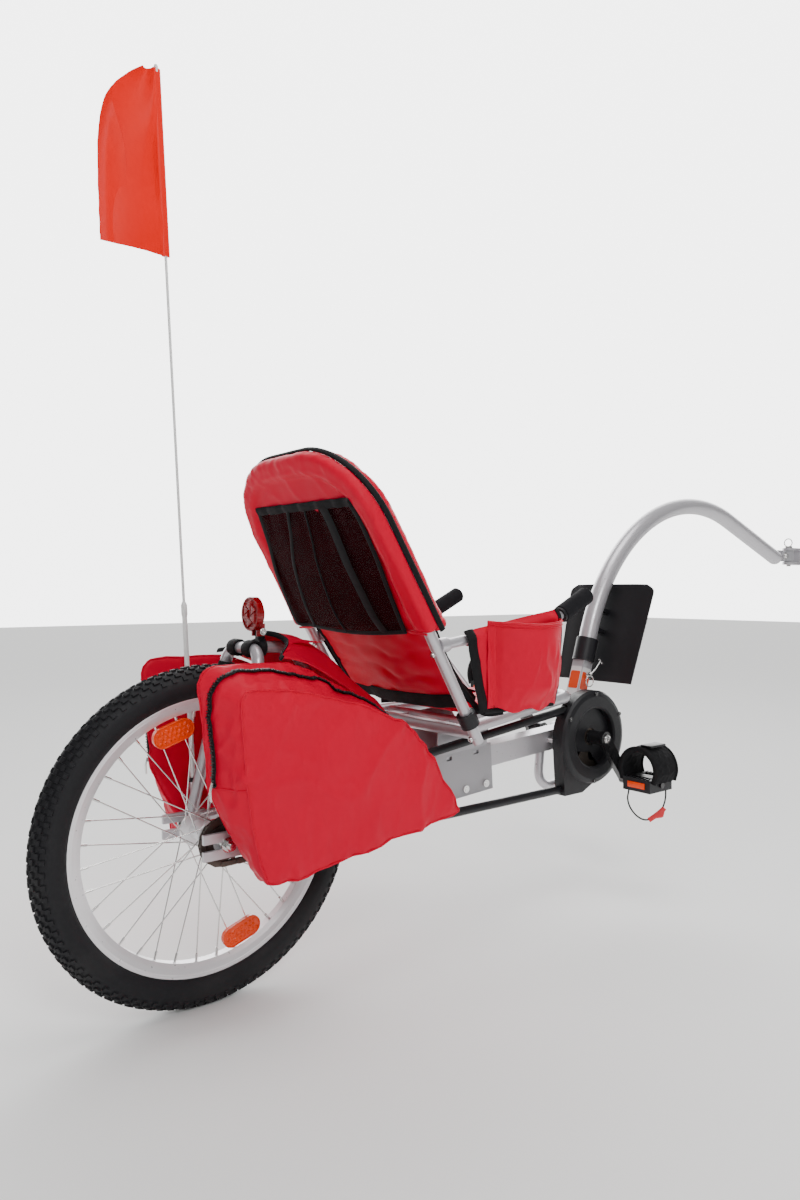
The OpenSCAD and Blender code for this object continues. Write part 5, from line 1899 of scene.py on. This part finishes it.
NODE_FINISHES = {
    SILVER_PAINT: "boom chain_stays dropouts rear_hoop top_tube ground_guard arm_post "
                  "tow_arm hitch_clamp seat_rails back_frame armrests",
    GREY_SHEET: "seat_carriage hitch_yoke",
    BRIGHT_STEEL: "rear_axle axle_nuts arm_pin hitch_pin carriage_bolts case_fixings "
                  "crank_spindle spokes bracket_bearings",
    ALLOY: "rim hub",
    OILED_STEEL: "chain freewheel chainring",
    BLACK_PLASTIC: "case_inner case_outer chain_tube_upper chain_tube_lower arm_sleeve "
                   "pedal_right pedal_left splash_plate reflector_bracket frame_collars",
    BLACK_PAINT: "crank_right crank_left",
    RED_CLOTH: "pannier_right pannier_left pannier_saddle back_cushion seat_sling "
               "side_panels cup_pockets",
    STRAP_PAD: "foot_strap_right foot_strap_left",
    CORD_BLACK: "strap_cord_right strap_cord_left",
    TAG_RED: "cord_tag_right cord_tag_left",
    FLAG_VINYL: "flag",
    POLE_WHITE: "flag_pole",
    REFLECTOR_RED: "rear_reflector",
    REFLECTOR_ORANGE: "spoke_reflectors",
    TYRE_RUBBER: "tyre",
    BUTYL: "inner_tube",
    FOAM: "grips",
}


def dress(nodes: dict) -> None:
    """Gives every frame node its finish.

    Args:
        nodes: the frame's objects by node name.
    """
    for finish, names in NODE_FINISHES.items():
        for name in names.split():
            obj = nodes[name]
            if not obj.material_slots:
                obj.data.materials.append(finish.make())
            for slot in obj.material_slots:
                slot.material = finish.make()


@dataclass
class Studio:
    """Camera, floor and soft lights."""

    focal_length: float = 25.49
    place: tuple = (-2.4072, -1.1864, -0.0966)
    turn: tuple = (89.33, 0.0, -38.57)
    backdrop: tuple = (0.62, 0.78, 0.0)
    middle: tuple = (-1.1, 0.0, -0.3)
    floor_reach: float = 14.0
    under_wheel: float = 0.0004

    def camera(self) -> None:
        """Camera beside the rear wheel, looking forward along the trailer."""
        data = bpy.data.cameras.new("camera")
        data.lens, data.sensor_width = self.focal_length, 36.0
        obj = bpy.data.objects.new("camera", data)
        obj.location = self.place
        obj.rotation_euler = [math.radians(a) for a in self.turn]
        bpy.context.scene.collection.objects.link(obj)
        bpy.context.scene.camera = obj

    def floor(self) -> None:
        """Wide pale floor."""
        bm = bmesh.new()
        bmesh.ops.create_grid(bm, x_segments=1, y_segments=1, size=self.floor_reach)
        bmesh.ops.translate(bm, vec=(0, 0, -PLAN.clamp_height / 1000 - self.under_wheel), verts=bm.verts)
        mesh = bpy.data.meshes.new("studio_floor")
        bm.to_mesh(mesh)
        bm.free()
        obj = bpy.data.objects.new("studio_floor", mesh)
        mat = bpy.data.materials.new("pale_floor")
        mat.use_nodes = True
        shader = mat.node_tree.nodes["Principled BSDF"]
        shader.inputs["Base Color"].default_value = (0.86, 0.86, 0.85, 1)
        shader.inputs["Roughness"].default_value = 0.9
        mesh.materials.append(mat)
        bpy.context.scene.collection.objects.link(obj)

    def lamp(self, name: str, place: tuple, size: float, power: float) -> None:
        """One square soft light aimed at the trailer's middle."""
        data = bpy.data.lights.new(name, "AREA")
        data.shape, data.size, data.energy = "SQUARE", size, power
        obj = bpy.data.objects.new(name, data)
        obj.location = place
        obj.rotation_euler = (Vector(self.middle) - Vector(place)).to_track_quat("-Z", "Y").to_euler()
        bpy.context.scene.collection.objects.link(obj)

    @staticmethod
    def _ramp(tree: Tree, value: Socket, span: tuple, out: tuple) -> Socket:
        """Smooth ramp of a socket from one range to another; returns the result's socket."""
        node = tree.nodes.new("ShaderNodeMapRange")
        node.interpolation_type = "SMOOTHSTEP"
        for i, level in enumerate((*span, *out)):
            node.inputs[1 + i].default_value = level
        tree.links.new(value, node.inputs[0])
        return node.outputs[0]

    def lights(self) -> None:
        """Bright wall behind the trailer, a softbox overhead, a key and a rim light."""
        world = bpy.data.worlds.new("studio")
        world.use_nodes = True
        tree = world.node_tree
        tree.nodes["Background"].inputs["Color"].default_value = (1, 1, 1, 1)
        way = tree.nodes.new("ShaderNodeTexCoord").outputs["Generated"]
        toward = tree.nodes.new("ShaderNodeVectorMath")
        toward.operation = "DOT_PRODUCT"
        toward.inputs[1].default_value = self.backdrop
        tree.links.new(way, toward.inputs[0])
        high = tree.nodes.new("ShaderNodeSeparateXYZ")
        tree.links.new(way, high.inputs[0])
        wall = self._ramp(tree, toward.outputs["Value"], (0.42, 0.76), (0.0, 4.6))
        sky = self._ramp(tree, high.outputs["Z"], (-0.2, 0.9), (0.22, 0.5))
        tree.links.new(_math(tree, "ADD", wall, sky), tree.nodes["Background"].inputs["Strength"])
        bpy.context.scene.world = world
        self.lamp("overhead", (-1.2, -0.4, 2.4), 1.6, 36)
        self.lamp("key", (-2.6, -3.0, 1.9), 1.1, 56)
        self.lamp("rim", (0.6, 2.6, 1.6), 1.8, 16)

    def build(self) -> None:
        """Builds the camera, the floor and the lights."""
        self.camera()
        self.floor()
        self.lights()


def main() -> None:
    """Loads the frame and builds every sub-assembly in order."""
    logging.basicConfig(level=logging.INFO, format="%(name)s: %(message)s")
    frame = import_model()
    Studio().build()
    dress(frame["nodes"])
    for part in (Drive(), Wheel(), Luggage(), Signals(), Seat(), TowArm()):
        log.info("building %s", type(part).__name__)
        part.build()
    log.info("%d pieces", len(Shop.made))


if __name__ == "__main__":
    main()
